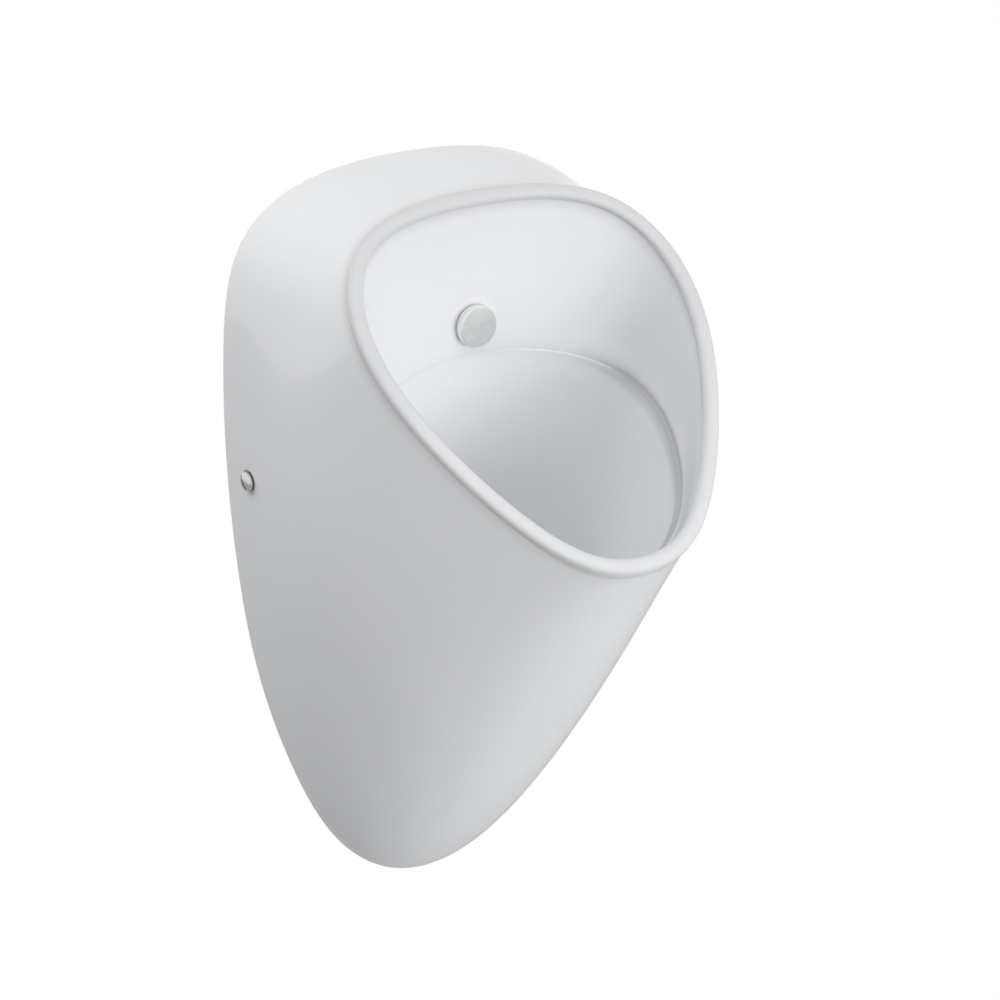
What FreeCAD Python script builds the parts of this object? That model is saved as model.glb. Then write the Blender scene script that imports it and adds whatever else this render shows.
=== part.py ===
import FreeCAD, Part
import Sketcher
import math
import os

# Wall hung urinal in vitreous china, with its flush inlet, waste, trap and concealed side fixings.
# Frame: the wall is the plane Y = 0 and the user stands at -Y. X is sideways and Z is up. The origin is
# the centre of the wall fixings: on the wall, on the centre line, at the height of the side screws.

Vector = FreeCAD.Vector
Rotation = FreeCAD.Rotation
Placement = FreeCAD.Placement

doc = FreeCAD.newDocument("WallHungUrinal")
sheet = doc.addObject("Spreadsheet::Sheet", "sizes")

SIZES = {
    # china body: heights from the fixings
    "topRise": 218.0,
    "bottomDrop": 382.0,
    "wallThickness": 11.0,
    # outline on the wall: half widths, and how far below the top the shoulder, waist and hip lie
    "crownHalfWidth": 143.5,
    "shoulderHalfWidth": 166.5,
    "shoulderDrop": 111.0,
    "waistHalfWidth": 155.0,
    "waistDrop": 316.0,
    "hipHalfWidth": 124.5,
    "hipDrop": 461.0,
    "toeHalfWidth": 56.5,
    # how far the shell leaves the wall squarely at its top, its sides and its toe
    "crownBulge": 39.0,
    "flankBulge": 124.0,
    "toeBulge": 77.0,
    "flareShare": 0.31,
    # rim: its top edge, its tilt from upright, and its outline down the slope
    "rimTopReach": 90.5,
    "rimTopDrop": 10.0,
    "rimTilt": 44.5,
    "rimLength": 304.0,
    "rimCrownHalfWidth": 77.5,
    "rimUpperHalfWidth": 142.5,
    "rimUpperFall": 38.5,
    "rimMiddleHalfWidth": 149.5,
    "rimMiddleShare": 0.46875,
    "rimLowerHalfWidth": 71.5,
    "rimLowerRise": 21.0,
    "rimToeHalfWidth": 26.5,
    "beadWidth": 11.6,
    "beadProud": 0.8,
    # bowl: a ledge all round inside the rim, then the well down to the drain
    "bowlBackReach": 88.0,
    "ledgeSideInset": 32.0,
    "ledgeFrontInset": 49.6,
    "ledgeFrontDrop": 29.2,
    "ledgeBackDrop": 124.0,
    "ledgeMiddleShare": 0.35,
    "ledgeWidth": 11.0,
    "ledgeFrontWidth": 4.0,
    "sideShare": 0.35,
    "sideDive": 11.0,
    "bowlLean": 0.12,
    "bowlPlunge": 44.0,
    "floorSpread": 0.46,
    "drainReach": 120.0,
    "floorDrop": 130.0,
    "drainWellRadius": 34.0,
    "mouthReach": 22.0,
    "rimBacking": 15.4,
    # flush inlet, along its axis from the wall
    "inletRise": 107.0,
    "shankRadius": 10.45,
    "shankBore": 8.0,
    "shankBack": 50.0,
    "flangeRadius": 13.5,
    "flangeThickness": 2.5,
    "gasketThickness": 1.5,
    "portRadius": 1.7,
    "portCircle": 5.6,
    "portCount": 6,
    "stemRadius": 2.5,
    "capRadius": 15.6,
    "capDepth": 6.4,
    "capWall": 1.3,
    "capFace": 2.0,
    "capLift": 0.8,
    "capChamfer": 0.6,
    "sprayWidth": 21.0,
    "sprayDrop": 9.5,
    "seatRim": 1.2,
    "padRadius": 24.0,
    "washerRadius": 17.0,
    "washerThickness": 2.0,
    "nutFlats": 27.0,
    "nozzleNutHeight": 8.0,
    "sealNutReach": 46.0,
    "sealNutFace": 3.0,
    "sealNutGrip": 9.0,
    "sealHeight": 6.0,
    "sealRadius": 9.2,
    "flushPipeRadius": 7.5,
    "flushPipeWall": 1.0,
    "flushPipeReach": 74.0,
    "pipeBeadReach": 41.0,
    "pipeBeadWidth": 2.5,
    "pipeBeadRise": 1.2,
    # waste fitting, along its axis from the flat under the china floor
    "floorHoleRadius": 25.0,
    "recessDepth": 3.0,
    "wasteFlangeRadius": 32.0,
    "wasteFlangeThickness": 3.0,
    "wasteFlangeEdge": 0.8,
    "wasteGasketInset": 0.5,
    "wasteThreadRadius": 23.9,
    "wasteThreadLength": 17.0,
    "dishRadius": 28.0,
    "dishDepth": 1.8,
    "undersealRadius": 32.0,
    "undersealHeight": 4.0,
    "wasteNutRadius": 32.0,
    "wasteNutHeight": 10.0,
    "lugCount": 6,
    "lugReach": 3.5,
    "lugWidth": 9.0,
    "lugHeight": 7.0,
    "holeSlack": 0.8,
    "strainerThickness": 1.8,
    "strainerLip": 1.1,
    "strainerCrown": 3.5,
    "strainerShoulder": 0.9,
    "strainerFlat": 3.0,
    "strainerCollar": 8.0,
    "strainerWall": 1.2,
    "strainerHoleRadius": 2.6,
    "innerHoleCircle": 7.5,
    "innerHoles": 6,
    "outerHoleCircle": 13.0,
    "outerHoles": 12,
    "seatGap": 0.3,
    # trap: pipe, slip joints and bend
    "trapPipeRadius": 20.0,
    "trapPipeWall": 2.4,
    "trapSpread": 72.0,
    "trapBendDrop": 62.0,
    "socketDrop": 24.0,
    "socketDepth": 20.0,
    "socketWall": 4.6,
    "socketGap": 1.2,
    "slipNutRadius": 29.0,
    "slipNutHeight": 21.0,
    "slipNutFace": 3.0,
    "slipWasherHeight": 3.4,
    "slipWasherLip": 1.0,
    "slipWasherTaper": 2.0,
    "ribCount": 24,
    "ribRadius": 1.1,
    "outletDrop": 147.0,
    "armBendRadius": 24.0,
    "slipNutClear": 2.0,
    "cleanoutRadius": 12.0,
    "cleanoutBore": 9.0,
    "cleanoutReach": 6.0,
    "plugHeadRadius": 14.0,
    "plugHeadHeight": 6.0,
    "plugEdge": 1.0,
    "plugShank": 7.0,
    "plugSlot": 3.0,
    "plugSlotReach": 8.4,
    "plugSlotDepth": 3.0,
    "plugSealHeight": 1.6,
    # side fixings
    "screwReach": 34.0,
    "headSink": 0.26,
    "headRadius": 7.3,
    "headHeight": 4.6,
    "headEdge": 1.2,
    "slotWidth": 1.7,
    "slotDepth": 1.9,
    "screwRadius": 4.0,
    "screwPoint": 1.0,
    "screwLength": 40.0,
    "threadClearance": 0.05,
    "sleeveRadius": 6.8,
    "sleeveCollar": 1.4,
    "sleeveLength": 11.0,
    "holeClearance": 0.3,
    "spotRadius": 8.6,
    "sidePadRadius": 19.0,
    "sidePadDepth": 14.7,
    "bracketPadThickness": 2.0,
    "bracketPadRadius": 13.0,
    "bracketThickness": 4.0,
    "bracketBend": 5.0,
    "bracketCorner": 10.0,
    "bracketArm": 54.0,
    "bracketArmHeight": 42.0,
    "bracketFlange": 54.0,
    "bracketFlangeHeight": 76.0,
    "boltInset": 30.5,
    "boltSpacingZ": 44.0,
    "boltSlotRadius": 4.5,
    "boltSlotLength": 15.0,
    "bushRadius": 7.0,
    "bushLength": 12.0,
    "bushFlangeRadius": 9.5,
    "bushFlange": 1.5,
}



def writeSize(row, alias, value):
    """Put one named size into the spreadsheet."""
    cell = f"B{row}"
    sheet.set(f"A{row}", alias)
    sheet.set(cell, str(value))
    sheet.setAlias(cell, alias)


for row, (alias, value) in enumerate(SIZES.items(), start=1):
    writeSize(row, alias, value)
doc.recompute()


class Size:
    """A length that knows its number and the spreadsheet formula it comes from."""

    def __init__(self, value, text):
        self.value = value
        self.text = text

    def __add__(self, other):
        other = asSize(other)
        return Size(self.value + other.value, f"({self.text} + {other.text})")

    def __sub__(self, other):
        other = asSize(other)
        return Size(self.value - other.value, f"({self.text} - {other.text})")

    def __mul__(self, other):
        other = asSize(other)
        return Size(self.value * other.value, f"({self.text} * {other.text})")

    def __truediv__(self, other):
        other = asSize(other)
        return Size(self.value / other.value, f"({self.text} / {other.text})")

    def __neg__(self):
        return Size(-self.value, f"(0 - {self.text})")


def asSize(thing):
    """A plain number becomes a Size whose formula is that number."""
    return thing if isinstance(thing, Size) else Size(float(thing), f"{float(thing):.9f}")


def dim(alias):
    """The Size held by one spreadsheet cell."""
    return Size(float(sheet.get(alias)), f"sizes.{alias}")


def num(alias):
    """The plain number held by one spreadsheet cell."""
    return float(sheet.get(alias))


def place(thing, base, rotation=Rotation()):
    """Put an object at a base of three Sizes, bound to the sheet, with a fixed rotation."""
    base = [asSize(part) for part in base]
    thing.Placement = Placement(Vector(*[part.value for part in base]), rotation)
    for axis, part in zip("xyz", base):
        thing.setExpression(f"Placement.Base.{axis}", part.text)
    return thing


FORWARD = Rotation(Vector(1, 0, 0), 90)        # turns a piece's own +Z towards the user
LEFTWARD = Rotation(Vector(0, 1, 0), -90)      # turns a piece's own +Z towards -X
RIGHTWARD = Rotation(Vector(0, 1, 0), 90)      # turns a piece's own +Z towards +X


# ---------------------------------------------------------------- sketch and feature helpers

def startBody(label):
    body = doc.addObject("PartDesign::Body", label)
    body.Label = label
    return body


def sketchOn(body, role, name, lift=None):
    """A sketch on one of the body's own origin planes, lifted along the plane's normal."""
    plane = [item for item in body.Origin.OriginFeatures if item.Role == role][0]
    sketch = body.newObject("Sketcher::SketchObject", name)
    sketch.AttachmentSupport = [(plane, "")]
    sketch.MapMode = "FlatFace"
    if lift is not None:
        lift = asSize(lift)
        sketch.AttachmentOffset = Placement(Vector(0, 0, lift.value), Rotation())
        sketch.setExpression("AttachmentOffset.Base.z", lift.text)
    return sketch


def pin(sketch, geometry, end, point):
    """Fix one sketch point at a pair of Sizes measured from the origin."""
    for kind, part in zip(("DistanceX", "DistanceY"), point):
        part = asSize(part)
        index = sketch.addConstraint(Sketcher.Constraint(kind, -1, 1, geometry, end, part.value))
        sketch.setExpression(f"Constraints[{index}]", part.text)


def addOutline(sketch, points):
    """A closed outline of straight lines through points given as pairs of Sizes."""
    points = [(asSize(across), asSize(along)) for across, along in points]
    first = sketch.GeometryCount
    count = len(points)
    for index, (across, along) in enumerate(points):
        nextAcross, nextAlong = points[(index + 1) % count]
        start = Vector(across.value, along.value, 0)
        end = Vector(nextAcross.value, nextAlong.value, 0)
        sketch.addGeometry(Part.LineSegment(start, end), False)
    for index in range(count):
        following = first + (index + 1) % count
        sketch.addConstraint(Sketcher.Constraint("Coincident", first + index, 2, following, 1))
    for index, point in enumerate(points):
        pin(sketch, first + index, 1, point)


def addCircle(sketch, centre, radius):
    """A full circle at a pair of Sizes."""
    centre = [asSize(part) for part in centre]
    radius = asSize(radius)
    middle = Vector(centre[0].value, centre[1].value, 0)
    index = sketch.addGeometry(Part.Circle(middle, Vector(0, 0, 1), radius.value), False)
    pin(sketch, index, 3, centre)
    held = sketch.addConstraint(Sketcher.Constraint("Radius", index, radius.value))
    sketch.setExpression(f"Constraints[{held}]", radius.text)


def addArc(sketch, centre, radius, first, last):
    """An arc between two turns in degrees; each end is fixed along one axis."""
    middle = Vector(asSize(centre[0]).value, asSize(centre[1]).value, 0)
    circle = Part.Circle(middle, Vector(0, 0, 1), radius.value)
    arc = Part.ArcOfCircle(circle, math.radians(first), math.radians(last))
    index = sketch.addGeometry(arc, False)
    pin(sketch, index, 3, centre)
    held = sketch.addConstraint(Sketcher.Constraint("Radius", index, radius.value))
    sketch.setExpression(f"Constraints[{held}]", radius.text)
    for end, turn in ((1, first), (2, last)):
        across, along = math.cos(math.radians(turn)), math.sin(math.radians(turn))
        steep = abs(along) > abs(across)
        kind, base, share = ("DistanceX", centre[0], across) if steep else ("DistanceY", centre[1], along)
        reach = asSize(base) + radius * share
        held = sketch.addConstraint(Sketcher.Constraint(kind, -1, 1, index, end, reach.value))
        sketch.setExpression(f"Constraints[{held}]", reach.text)


def revolve(body, points):
    """Turn an outline of (radius, height) pairs about the body's Z axis."""
    sketch = sketchOn(body, "XZ_Plane", "turned_profile")
    addOutline(sketch, points)
    feature = body.newObject("PartDesign::Revolution", "turned")
    feature.Profile = sketch
    feature.ReferenceAxis = (sketch, ["V_Axis"])
    feature.Angle = 360.0
    doc.recompute()
    return feature


def extrude(body, sketch, length, name, cut=False, reverse=False):
    """Pad or pocket a sketch by a Size; a pocket must take material away."""
    before = body.Shape.Volume if cut else 0.0
    feature = body.newObject("PartDesign::Pocket" if cut else "PartDesign::Pad", name)
    feature.Profile = sketch
    feature.Reversed = reverse
    feature.setExpression("Length", asSize(length).text)
    doc.recompute()
    if cut and body.Shape.Volume > before - 1e-6:
        raise RuntimeError(f"{body.Label}: {name} cuts nothing")
    return feature


def polar(body, feature, count, name):
    """Repeat a feature round the body's Z axis."""
    axis = [item for item in body.Origin.OriginFeatures if item.Role == "Z_Axis"][0]
    pattern = body.newObject("PartDesign::PolarPattern", name)
    pattern.Originals = [feature]
    pattern.Axis = (axis, [""])
    pattern.Angle = 360.0
    pattern.setExpression("Occurrences", asSize(count).text)
    body.Tip = pattern
    doc.recompute()
    return pattern


def roundEdges(body, radius, test, name):
    """Fillet the straight edges of the body whose direction and middle pass the test."""
    doc.recompute()
    base = body.Tip
    names = []
    for index, edge in enumerate(base.Shape.Edges, start=1):
        if edge.Curve.TypeId != "Part::GeomLine":
            continue
        start, end = [vertex.Point for vertex in edge.Vertexes]
        if test((end - start).normalize(), (start + end) * 0.5):
            names.append(f"Edge{index}")
    rounded = body.newObject("PartDesign::Fillet", name)
    rounded.Base = (base, names)
    rounded.setExpression("Radius", asSize(radius).text)
    doc.recompute()
    return rounded


def hexagon(flats):
    """The six corners of a hexagon with the given size across its flats."""
    cornerReach = 0.5 / math.cos(math.radians(30))
    corners = []
    for index in range(6):
        turn = math.radians(60 * index)
        corners.append((flats * (cornerReach * math.cos(turn)), flats * (cornerReach * math.sin(turn))))
    return corners


def ring(label, inner, outer, low, high):
    """A plain ring with a rectangular section."""
    body = startBody(label)
    revolve(body, [(inner, low), (outer, low), (outer, high), (inner, high)])
    return body


# ---------------------------------------------------------------- freeform china surfaces

# A loop is half of a closed outline, from its top or back point round the right side to its bottom or
# front point, as seven control points. The first two and the last two lie level, so that the mirrored
# half runs on smoothly.
LOOP_KNOTS = [0.0, 0.25, 0.5, 0.75, 1.0]
LOOP_MULTS = [4, 1, 1, 1, 4]
ROUND_LOOP = [(0, 1), (0.262, 1), (0.787, 0.806), (1.109, 0), (0.787, -0.806), (0.262, -1), (0, -1)]
LOOP_STATIONS = [0, 0, 0.25, 0.5, 0.75, 1, 1]


def loopCurve(loop):
    curve = Part.BSplineCurve()
    curve.buildFromPolesMultsKnots(loop, LOOP_MULTS, LOOP_KNOTS, False, 3)
    return curve


def inset(loop, normal, distance):
    """Move a flat loop's control points inwards, square to the outline."""
    middle = (loop[0] + loop[-1]) * 0.5
    moved = []
    for index, point in enumerate(loop):
        before = loop[max(index - 1, 0)]
        after = loop[min(index + 1, len(loop) - 1)]
        if index < 2:
            side = (middle - loop[0]).normalize()
        elif index > len(loop) - 3:
            side = (middle - loop[-1]).normalize()
        else:
            side = normal.cross(after - before).normalize()
            if side.dot(middle - point) < 0:
                side = -side
        moved.append(point + side * distance)
    for index in (0, -1):
        moved[index].x = 0.0
    return moved


def skin(loops):
    """Both mirrored halves of the surface that four loops control."""
    poles = [[loop[index] for loop in loops] for index in range(len(loops[0]))]
    surface = Part.BSplineSurface()
    surface.buildFromPolesMultsKnots(poles, LOOP_MULTS, [4, 4], LOOP_KNOTS, [0.0, 1.0], False, False, 3, 3)
    right = surface.toShape()
    return [right, right.mirror(Vector(), Vector(1, 0, 0))]


def straight(first, last):
    """Four loops that run straight from the first to the last."""
    loops = []
    for share in (0.0, 1 / 3, 2 / 3, 1.0):
        loops.append([start + (end - start) * share for start, end in zip(first, last)])
    return loops


def lid(loop):
    """The flat face inside a loop and its mirror image."""
    right = loopCurve(loop).toShape()
    left = right.mirror(Vector(), Vector(1, 0, 0))
    return Part.Face(Part.Wire([right, left]))


def closedSolid(faces):
    shell = Part.makeShell(faces)
    shell.sewShape()
    solid = Part.Solid(Part.Shell(shell.Faces))
    solid.fix(0.01, 0.01, 0.01)
    if solid.Volume < 0:
        solid.reverse()
    return solid


def feature(name, shape):
    thing = doc.addObject("Part::Feature", name)
    thing.Shape = shape
    return thing


def rod(name, radius, start, length, base, rotation=Rotation()):
    """A cylinder from start to start + length along its own turned axis."""
    thing = doc.addObject("Part::Cylinder", name)
    thing.setExpression("Radius", asSize(radius).text)
    thing.setExpression("Height", asSize(length).text)
    axis = rotation.multVec(Vector(0, 0, 1))
    base = [asSize(part) + asSize(start) * share for part, share in zip(base, axis)]
    return place(thing, base, rotation)


def join(name, shapes):
    thing = doc.addObject("Part::MultiFuse", name)
    thing.Shapes = shapes
    return thing


def cut(name, base, tool):
    thing = doc.addObject("Part::Cut", name)
    thing.Base = base
    thing.Tool = tool
    return thing


# ---------------------------------------------------------------- places shared by the pieces

floorUnder = -(dim("floorDrop") + dim("wallThickness"))
inletBase = (0, 0, dim("inletRise"))
wasteBase = (0, -dim("drainReach"), floorUnder)
screwBase = (0, -dim("screwReach"), 0)
inletSeat = dim("bowlBackReach")
inletBack = inletSeat - dim("wallThickness")
wasteSeat = dim("wallThickness") - dim("recessDepth")
clear = dim("threadClearance")
pipe = dim("trapPipeRadius")
pipeBore = pipe - dim("trapPipeWall")
SIDES = [("left", LEFTWARD), ("right", RIGHTWARD)]

# a domed head's outline as shares of its radius and of the height of its dome
DOME = [(1.0, 0.0), (0.985, 0.2), (0.93, 0.4), (0.84, 0.58), (0.71, 0.74), (0.54, 0.87), (0.36, 0.95),
        (0.18, 0.99), (0.0, 1.0)]


# ---------------------------------------------------------------- china body

top = num("topRise")
bottom = -num("bottomDrop")
wall = num("wallThickness")
tilt = math.radians(num("rimTilt"))
down = Vector(0, -math.sin(tilt), -math.cos(tilt))     # down the slope of the rim
out = Vector(0, -math.cos(tilt), math.sin(tilt))       # square to the rim, out of the mouth
toWall = Vector(0, 1, 0)
rimTop = Vector(0, -num("rimTopReach"), top - num("rimTopDrop"))


def wallLoop():
    """The shell's outline where it meets the wall."""
    halves = ["crownHalfWidth", "shoulderHalfWidth", "waistHalfWidth", "hipHalfWidth", "toeHalfWidth"]
    drops = [0.0, num("shoulderDrop"), num("waistDrop"), num("hipDrop"), top - bottom]
    points = [Vector(num(half), 0, top - drop) for half, drop in zip(halves, drops)]
    return [Vector(0, 0, top)] + points + [Vector(0, 0, bottom)]


def rimLoop():
    """The outer edge of the rim's bead, in the plane of the rim."""
    halves = ["rimCrownHalfWidth", "rimUpperHalfWidth", "rimMiddleHalfWidth", "rimLowerHalfWidth",
              "rimToeHalfWidth"]
    length = num("rimLength")
    falls = [0.0, num("rimUpperFall"), length * num("rimMiddleShare"), length - num("rimLowerRise"), length]
    points = [rimTop + Vector(num(half), 0, 0) + down * fall for half, fall in zip(halves, falls)]
    return [rimTop] + points + [rimTop + down * num("rimLength")]


def shellLoops(wallEdge, rimEdge):
    """The shell leaves the wall squarely and runs up to the rim with a slight flare."""
    bulges = [num("crownBulge"), num("flankBulge"), num("toeBulge")]
    flare = num("flareShare")
    near = []
    far = []
    for station, low, high in zip(LOOP_STATIONS, wallEdge, rimEdge):
        if station < 0.5:
            bulge = bulges[0] + (bulges[1] - bulges[0]) * station * 2
        else:
            bulge = bulges[1] + (bulges[2] - bulges[1]) * (station * 2 - 1)
        near.append(low - toWall * bulge)
        far.append(high + (low - high) * flare)
    return [wallEdge, near, far, rimEdge]


def flankHalfWidth(reach, rise):
    """Half of the shell's outer width at a distance from the wall and a height."""
    flank = skin(shellLoops(wallLoop(), inset(rimLoop(), out, num("beadProud"))))[0]
    level = Vector(0, -reach, rise)
    sideways = Part.makeLine(level, level + Vector(num("shoulderHalfWidth") * 2, 0, 0))
    return flank.section(sideways).Vertexes[0].X


writeSize(len(SIZES) + 1, "headSeat", flankHalfWidth(num("screwReach"), 0) - num("headSink"))
doc.recompute()
sidePadInside = dim("headSeat") - dim("sidePadDepth")


def roundLoop(middle, halfWidth, back, front):
    """An egg-shaped loop: a circle drawn out sideways, to the back and to the front."""
    points = []
    for across, along in ROUND_LOOP:
        reach = back if along > 0 else front
        points.append(middle + Vector(across * halfWidth, 0, 0) + reach * abs(along))
    return points


def ledgeLoop(grow, sideWidth=0.0, frontWidth=0.0):
    """The inner edge of the ledge round the bowl, grown by a wall and by the ledge's own width."""
    back = Vector(0, -num("bowlBackReach"), rimTop.z - num("ledgeBackDrop"))
    front = rimTop + down * num("rimLength") + Vector(0, num("ledgeFrontInset"), -num("ledgeFrontDrop"))
    slope = (front - back).normalize()
    middle = back + (front - back) * num("ledgeMiddleShare")
    halfWidth = num("rimMiddleHalfWidth") - num("ledgeSideInset") + grow + sideWidth
    return roundLoop(middle, halfWidth, back - slope * grow - middle,
                     front + slope * (grow + frontWidth) - middle)


def drainLoop(grow):
    """The round well over the drain, grown outwards and down by a wall."""
    middle = Vector(0, -num("drainReach"), -num("floorDrop") - grow)
    radius = num("drainWellRadius") + grow
    return roundLoop(middle, radius, Vector(0, radius, 0), Vector(0, -radius, 0))


def cavity(grow, sideWidth, frontWidth):
    """The space inside the rim, down past the ledge to the drain, grown outwards by a wall.

    From the rim the side first runs square to the mouth, then lands level on the ledge. From the
    ledge the bowl drops steeply and ends flat round the drain.
    """
    rim = inset(rimLoop(), out, num("beadWidth") - num("beadProud") - grow)
    mouth = [point + out * num("mouthReach") for point in rim]
    edge = ledgeLoop(grow)
    outer = ledgeLoop(grow, sideWidth, frontWidth)
    floor = drainLoop(grow)
    dive = out * num("sideDive")
    plunge = Vector(0, 0, num("bowlPlunge"))
    upper = [start + (end - start) * num("sideShare") - dive for start, end in zip(rim, outer)]
    steep = [point + (low - point) * num("bowlLean") - plunge for point, low in zip(edge, floor)]
    level = [low + (point - low) * num("floorSpread") for point, low in zip(edge, floor)]
    level = [Vector(point.x, point.y, low.z) for point, low in zip(level, floor)]
    faces = skin(straight(mouth, rim)) + skin([rim, upper, outer, edge])
    faces += skin([edge, steep, level, floor])
    return closedSolid(faces + [lid(mouth), lid(floor)])


def chinaBody():
    """Shell, less the bowl and the open back, with a bead round the rim and flats for the fittings."""
    wallEdge = wallLoop()
    rimEdge = rimLoop()
    shellRim = inset(rimEdge, out, num("beadProud"))
    shellFaces = skin(shellLoops(wallEdge, shellRim)) + [lid(wallEdge), lid(shellRim)]
    block = feature("shell_block", closedSolid(shellFaces))
    bowlSpace = feature("bowl_space", cavity(0.0, num("ledgeWidth"), num("ledgeFrontWidth")))
    bowlBlock = feature("bowl_block", cavity(wall, 0.0, 0.0))

    innerWall = inset(wallEdge, toWall, wall)
    innerRim = [point - out * num("rimBacking") for point in inset(rimEdge, out, wall)]
    behind = [point + toWall * wall for point in innerWall]
    innerFaces = skin(straight(behind, innerWall)) + skin(shellLoops(innerWall, innerRim))
    innerBlock = feature("inner_block", closedSolid(innerFaces + [lid(behind), lid(innerRim)]))

    beadMiddle = inset(rimEdge, out, num("beadWidth") / 2)
    right = loopCurve(beadMiddle).toShape()
    path = Part.Wire([right, right.mirror(Vector(), Vector(1, 0, 0))])
    circle = Part.Circle(beadMiddle[0], Vector(1, 0, 0), num("beadWidth") / 2)
    bead = feature("rim_bead", path.makePipeShell([Part.Wire([circle.toShape()])], True, True))

    wallSize = dim("wallThickness")
    sidePads = [rod(f"{side}_pad", dim("sidePadRadius"), sidePadInside, dim("sidePadDepth"), screwBase, turn)
                for side, turn in SIDES]
    inletPad = rod("inlet_pad", dim("padRadius"), inletBack, wallSize, inletBase, FORWARD)
    keep = join("kept_walls", [bowlBlock, inletPad] + sidePads)
    hollow = cut("open_back", innerBlock, keep)
    seatRadius = dim("capRadius") + dim("seatRim")
    inletBoss = rod("inlet_boss", seatRadius, inletBack, wallSize, inletBase, FORWARD)
    bowl = cut("bowl_cut", block, bowlSpace)
    walls = cut("walls", bowl, hollow)
    whole = join("beaded_walls", [walls, bead, inletBoss])

    tools = [
        rod("inlet_spotface", seatRadius, inletSeat, wallSize, inletBase, FORWARD),
        rod("inlet_hole", dim("shankRadius") + dim("holeSlack"), inletBack - wallSize, wallSize * 3,
            inletBase, FORWARD),
        rod("drain_hole", dim("floorHoleRadius"), -wallSize, wallSize * 3, wasteBase),
        rod("drain_recess", dim("wasteFlangeRadius") + dim("holeSlack"), wasteSeat, wallSize, wasteBase),
    ]
    for side, turn in SIDES:
        hole = dim("sleeveRadius") + dim("holeClearance")
        inside = sidePadInside - wallSize
        tools.append(rod(f"{side}_hole", hole, inside, wallSize * 4, screwBase, turn))
        tools.append(rod(f"{side}_spotface", dim("spotRadius"), dim("headSeat"), wallSize, screwBase, turn))
    china = cut("china_body", whole, join("holes", tools))
    doc.recompute()
    return china


# ---------------------------------------------------------------- flush inlet

def spreaderNozzle():
    """Flanged tube through the china; its front wall has ports round a hub for the cap's stem."""
    body = startBody("spreader_nozzle")
    seat = inletSeat + dim("gasketThickness")
    front = seat + dim("flangeThickness")
    shank = dim("shankRadius")
    counter = dim("sealRadius")
    counterEnd = dim("shankBack") + dim("sealHeight")
    frontWall = front - dim("flangeThickness") * 2
    revolve(body, [(0, frontWall), (dim("shankBore"), frontWall), (dim("shankBore"), counterEnd),
                   (counter, counterEnd), (counter, dim("shankBack")), (shank, dim("shankBack")),
                   (shank, seat), (dim("flangeRadius"), seat), (dim("flangeRadius"), front), (0, front)])
    sketch = sketchOn(body, "XY_Plane", "stem_hole", front)
    addCircle(sketch, (0, 0), dim("stemRadius") + clear)
    extrude(body, sketch, dim("flangeThickness") * 3, "stem_bore", cut=True)
    sketch = sketchOn(body, "XY_Plane", "port", front)
    addCircle(sketch, (dim("portCircle"), 0), dim("portRadius"))
    port = extrude(body, sketch, dim("flangeThickness") * 3, "port_bore", cut=True)
    polar(body, port, dim("portCount"), "ports")
    return place(body, inletBase, FORWARD)


def spreaderCap():
    """Cup over the nozzle: a plain chamfered face, a stem, and a skirt cut away below for the spray."""
    body = startBody("spreader_cap")
    skirtEnd = inletSeat + dim("capLift")
    face = skirtEnd + dim("capDepth")
    inner = face - dim("capFace")
    outer = dim("capRadius")
    skirt = outer - dim("capWall")
    chamfer = dim("capChamfer")
    stem = dim("stemRadius")
    stemEnd = inletSeat - dim("flangeThickness") / 2
    revolve(body, [(0, stemEnd), (stem, stemEnd), (stem, inner), (skirt, inner), (skirt, skirtEnd),
                   (outer, skirtEnd), (outer, face - chamfer), (outer - chamfer, face), (0, face)])
    sketch = sketchOn(body, "XY_Plane", "spray_window", skirtEnd)
    half = dim("sprayWidth") / 2
    low = -outer * 2
    high = -dim("sprayDrop")
    addOutline(sketch, [(-half, low), (half, low), (half, high), (-half, high)])
    depth = dim("capDepth") - dim("capFace")
    extrude(body, sketch, depth, "spray_slot", cut=True, reverse=True)
    return place(body, inletBase, FORWARD)


def nozzleNut():
    """Hexagon nut that draws the nozzle against the back of the china."""
    body = startBody("nozzle_nut")
    high = inletBack - dim("washerThickness")
    sketch = sketchOn(body, "XY_Plane", "hexagon", high - dim("nozzleNutHeight"))
    addOutline(sketch, hexagon(dim("nutFlats")))
    addCircle(sketch, (0, 0), dim("shankRadius") + clear)
    extrude(body, sketch, dim("nozzleNutHeight"), "nut")
    return place(body, inletBase, FORWARD)


def sealNut():
    """Cap nut on the shank's rear end that squeezes the seal round the flush pipe."""
    body = startBody("seal_nut")
    low = dim("sealNutReach")
    inner = low + dim("sealNutFace")
    sketch = sketchOn(body, "XY_Plane", "hexagon", low)
    addOutline(sketch, hexagon(dim("nutFlats")))
    addCircle(sketch, (0, 0), dim("flushPipeRadius") + dim("holeClearance"))
    extrude(body, sketch, dim("sealNutFace") + dim("sealNutGrip"), "nut")
    sketch = sketchOn(body, "XY_Plane", "thread", inner)
    addCircle(sketch, (0, 0), dim("shankRadius") + clear)
    extrude(body, sketch, dim("sealNutGrip") * 2, "thread_bore", cut=True, reverse=True)
    return place(body, inletBase, FORWARD)


def flushPipe():
    """Supply tube from the wall, with a bead that stops it short of the seal nut."""
    body = startBody("flush_pipe")
    outer = dim("flushPipeRadius")
    bore = outer - dim("flushPipeWall")
    raised = outer + dim("pipeBeadRise")
    bead = dim("pipeBeadReach")
    beadEnd = bead + dim("pipeBeadWidth")
    revolve(body, [(bore, 0), (outer, 0), (outer, bead), (raised, bead), (raised, beadEnd), (outer, beadEnd),
                   (outer, dim("flushPipeReach")), (bore, dim("flushPipeReach"))])
    return place(body, inletBase, FORWARD)


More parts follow.
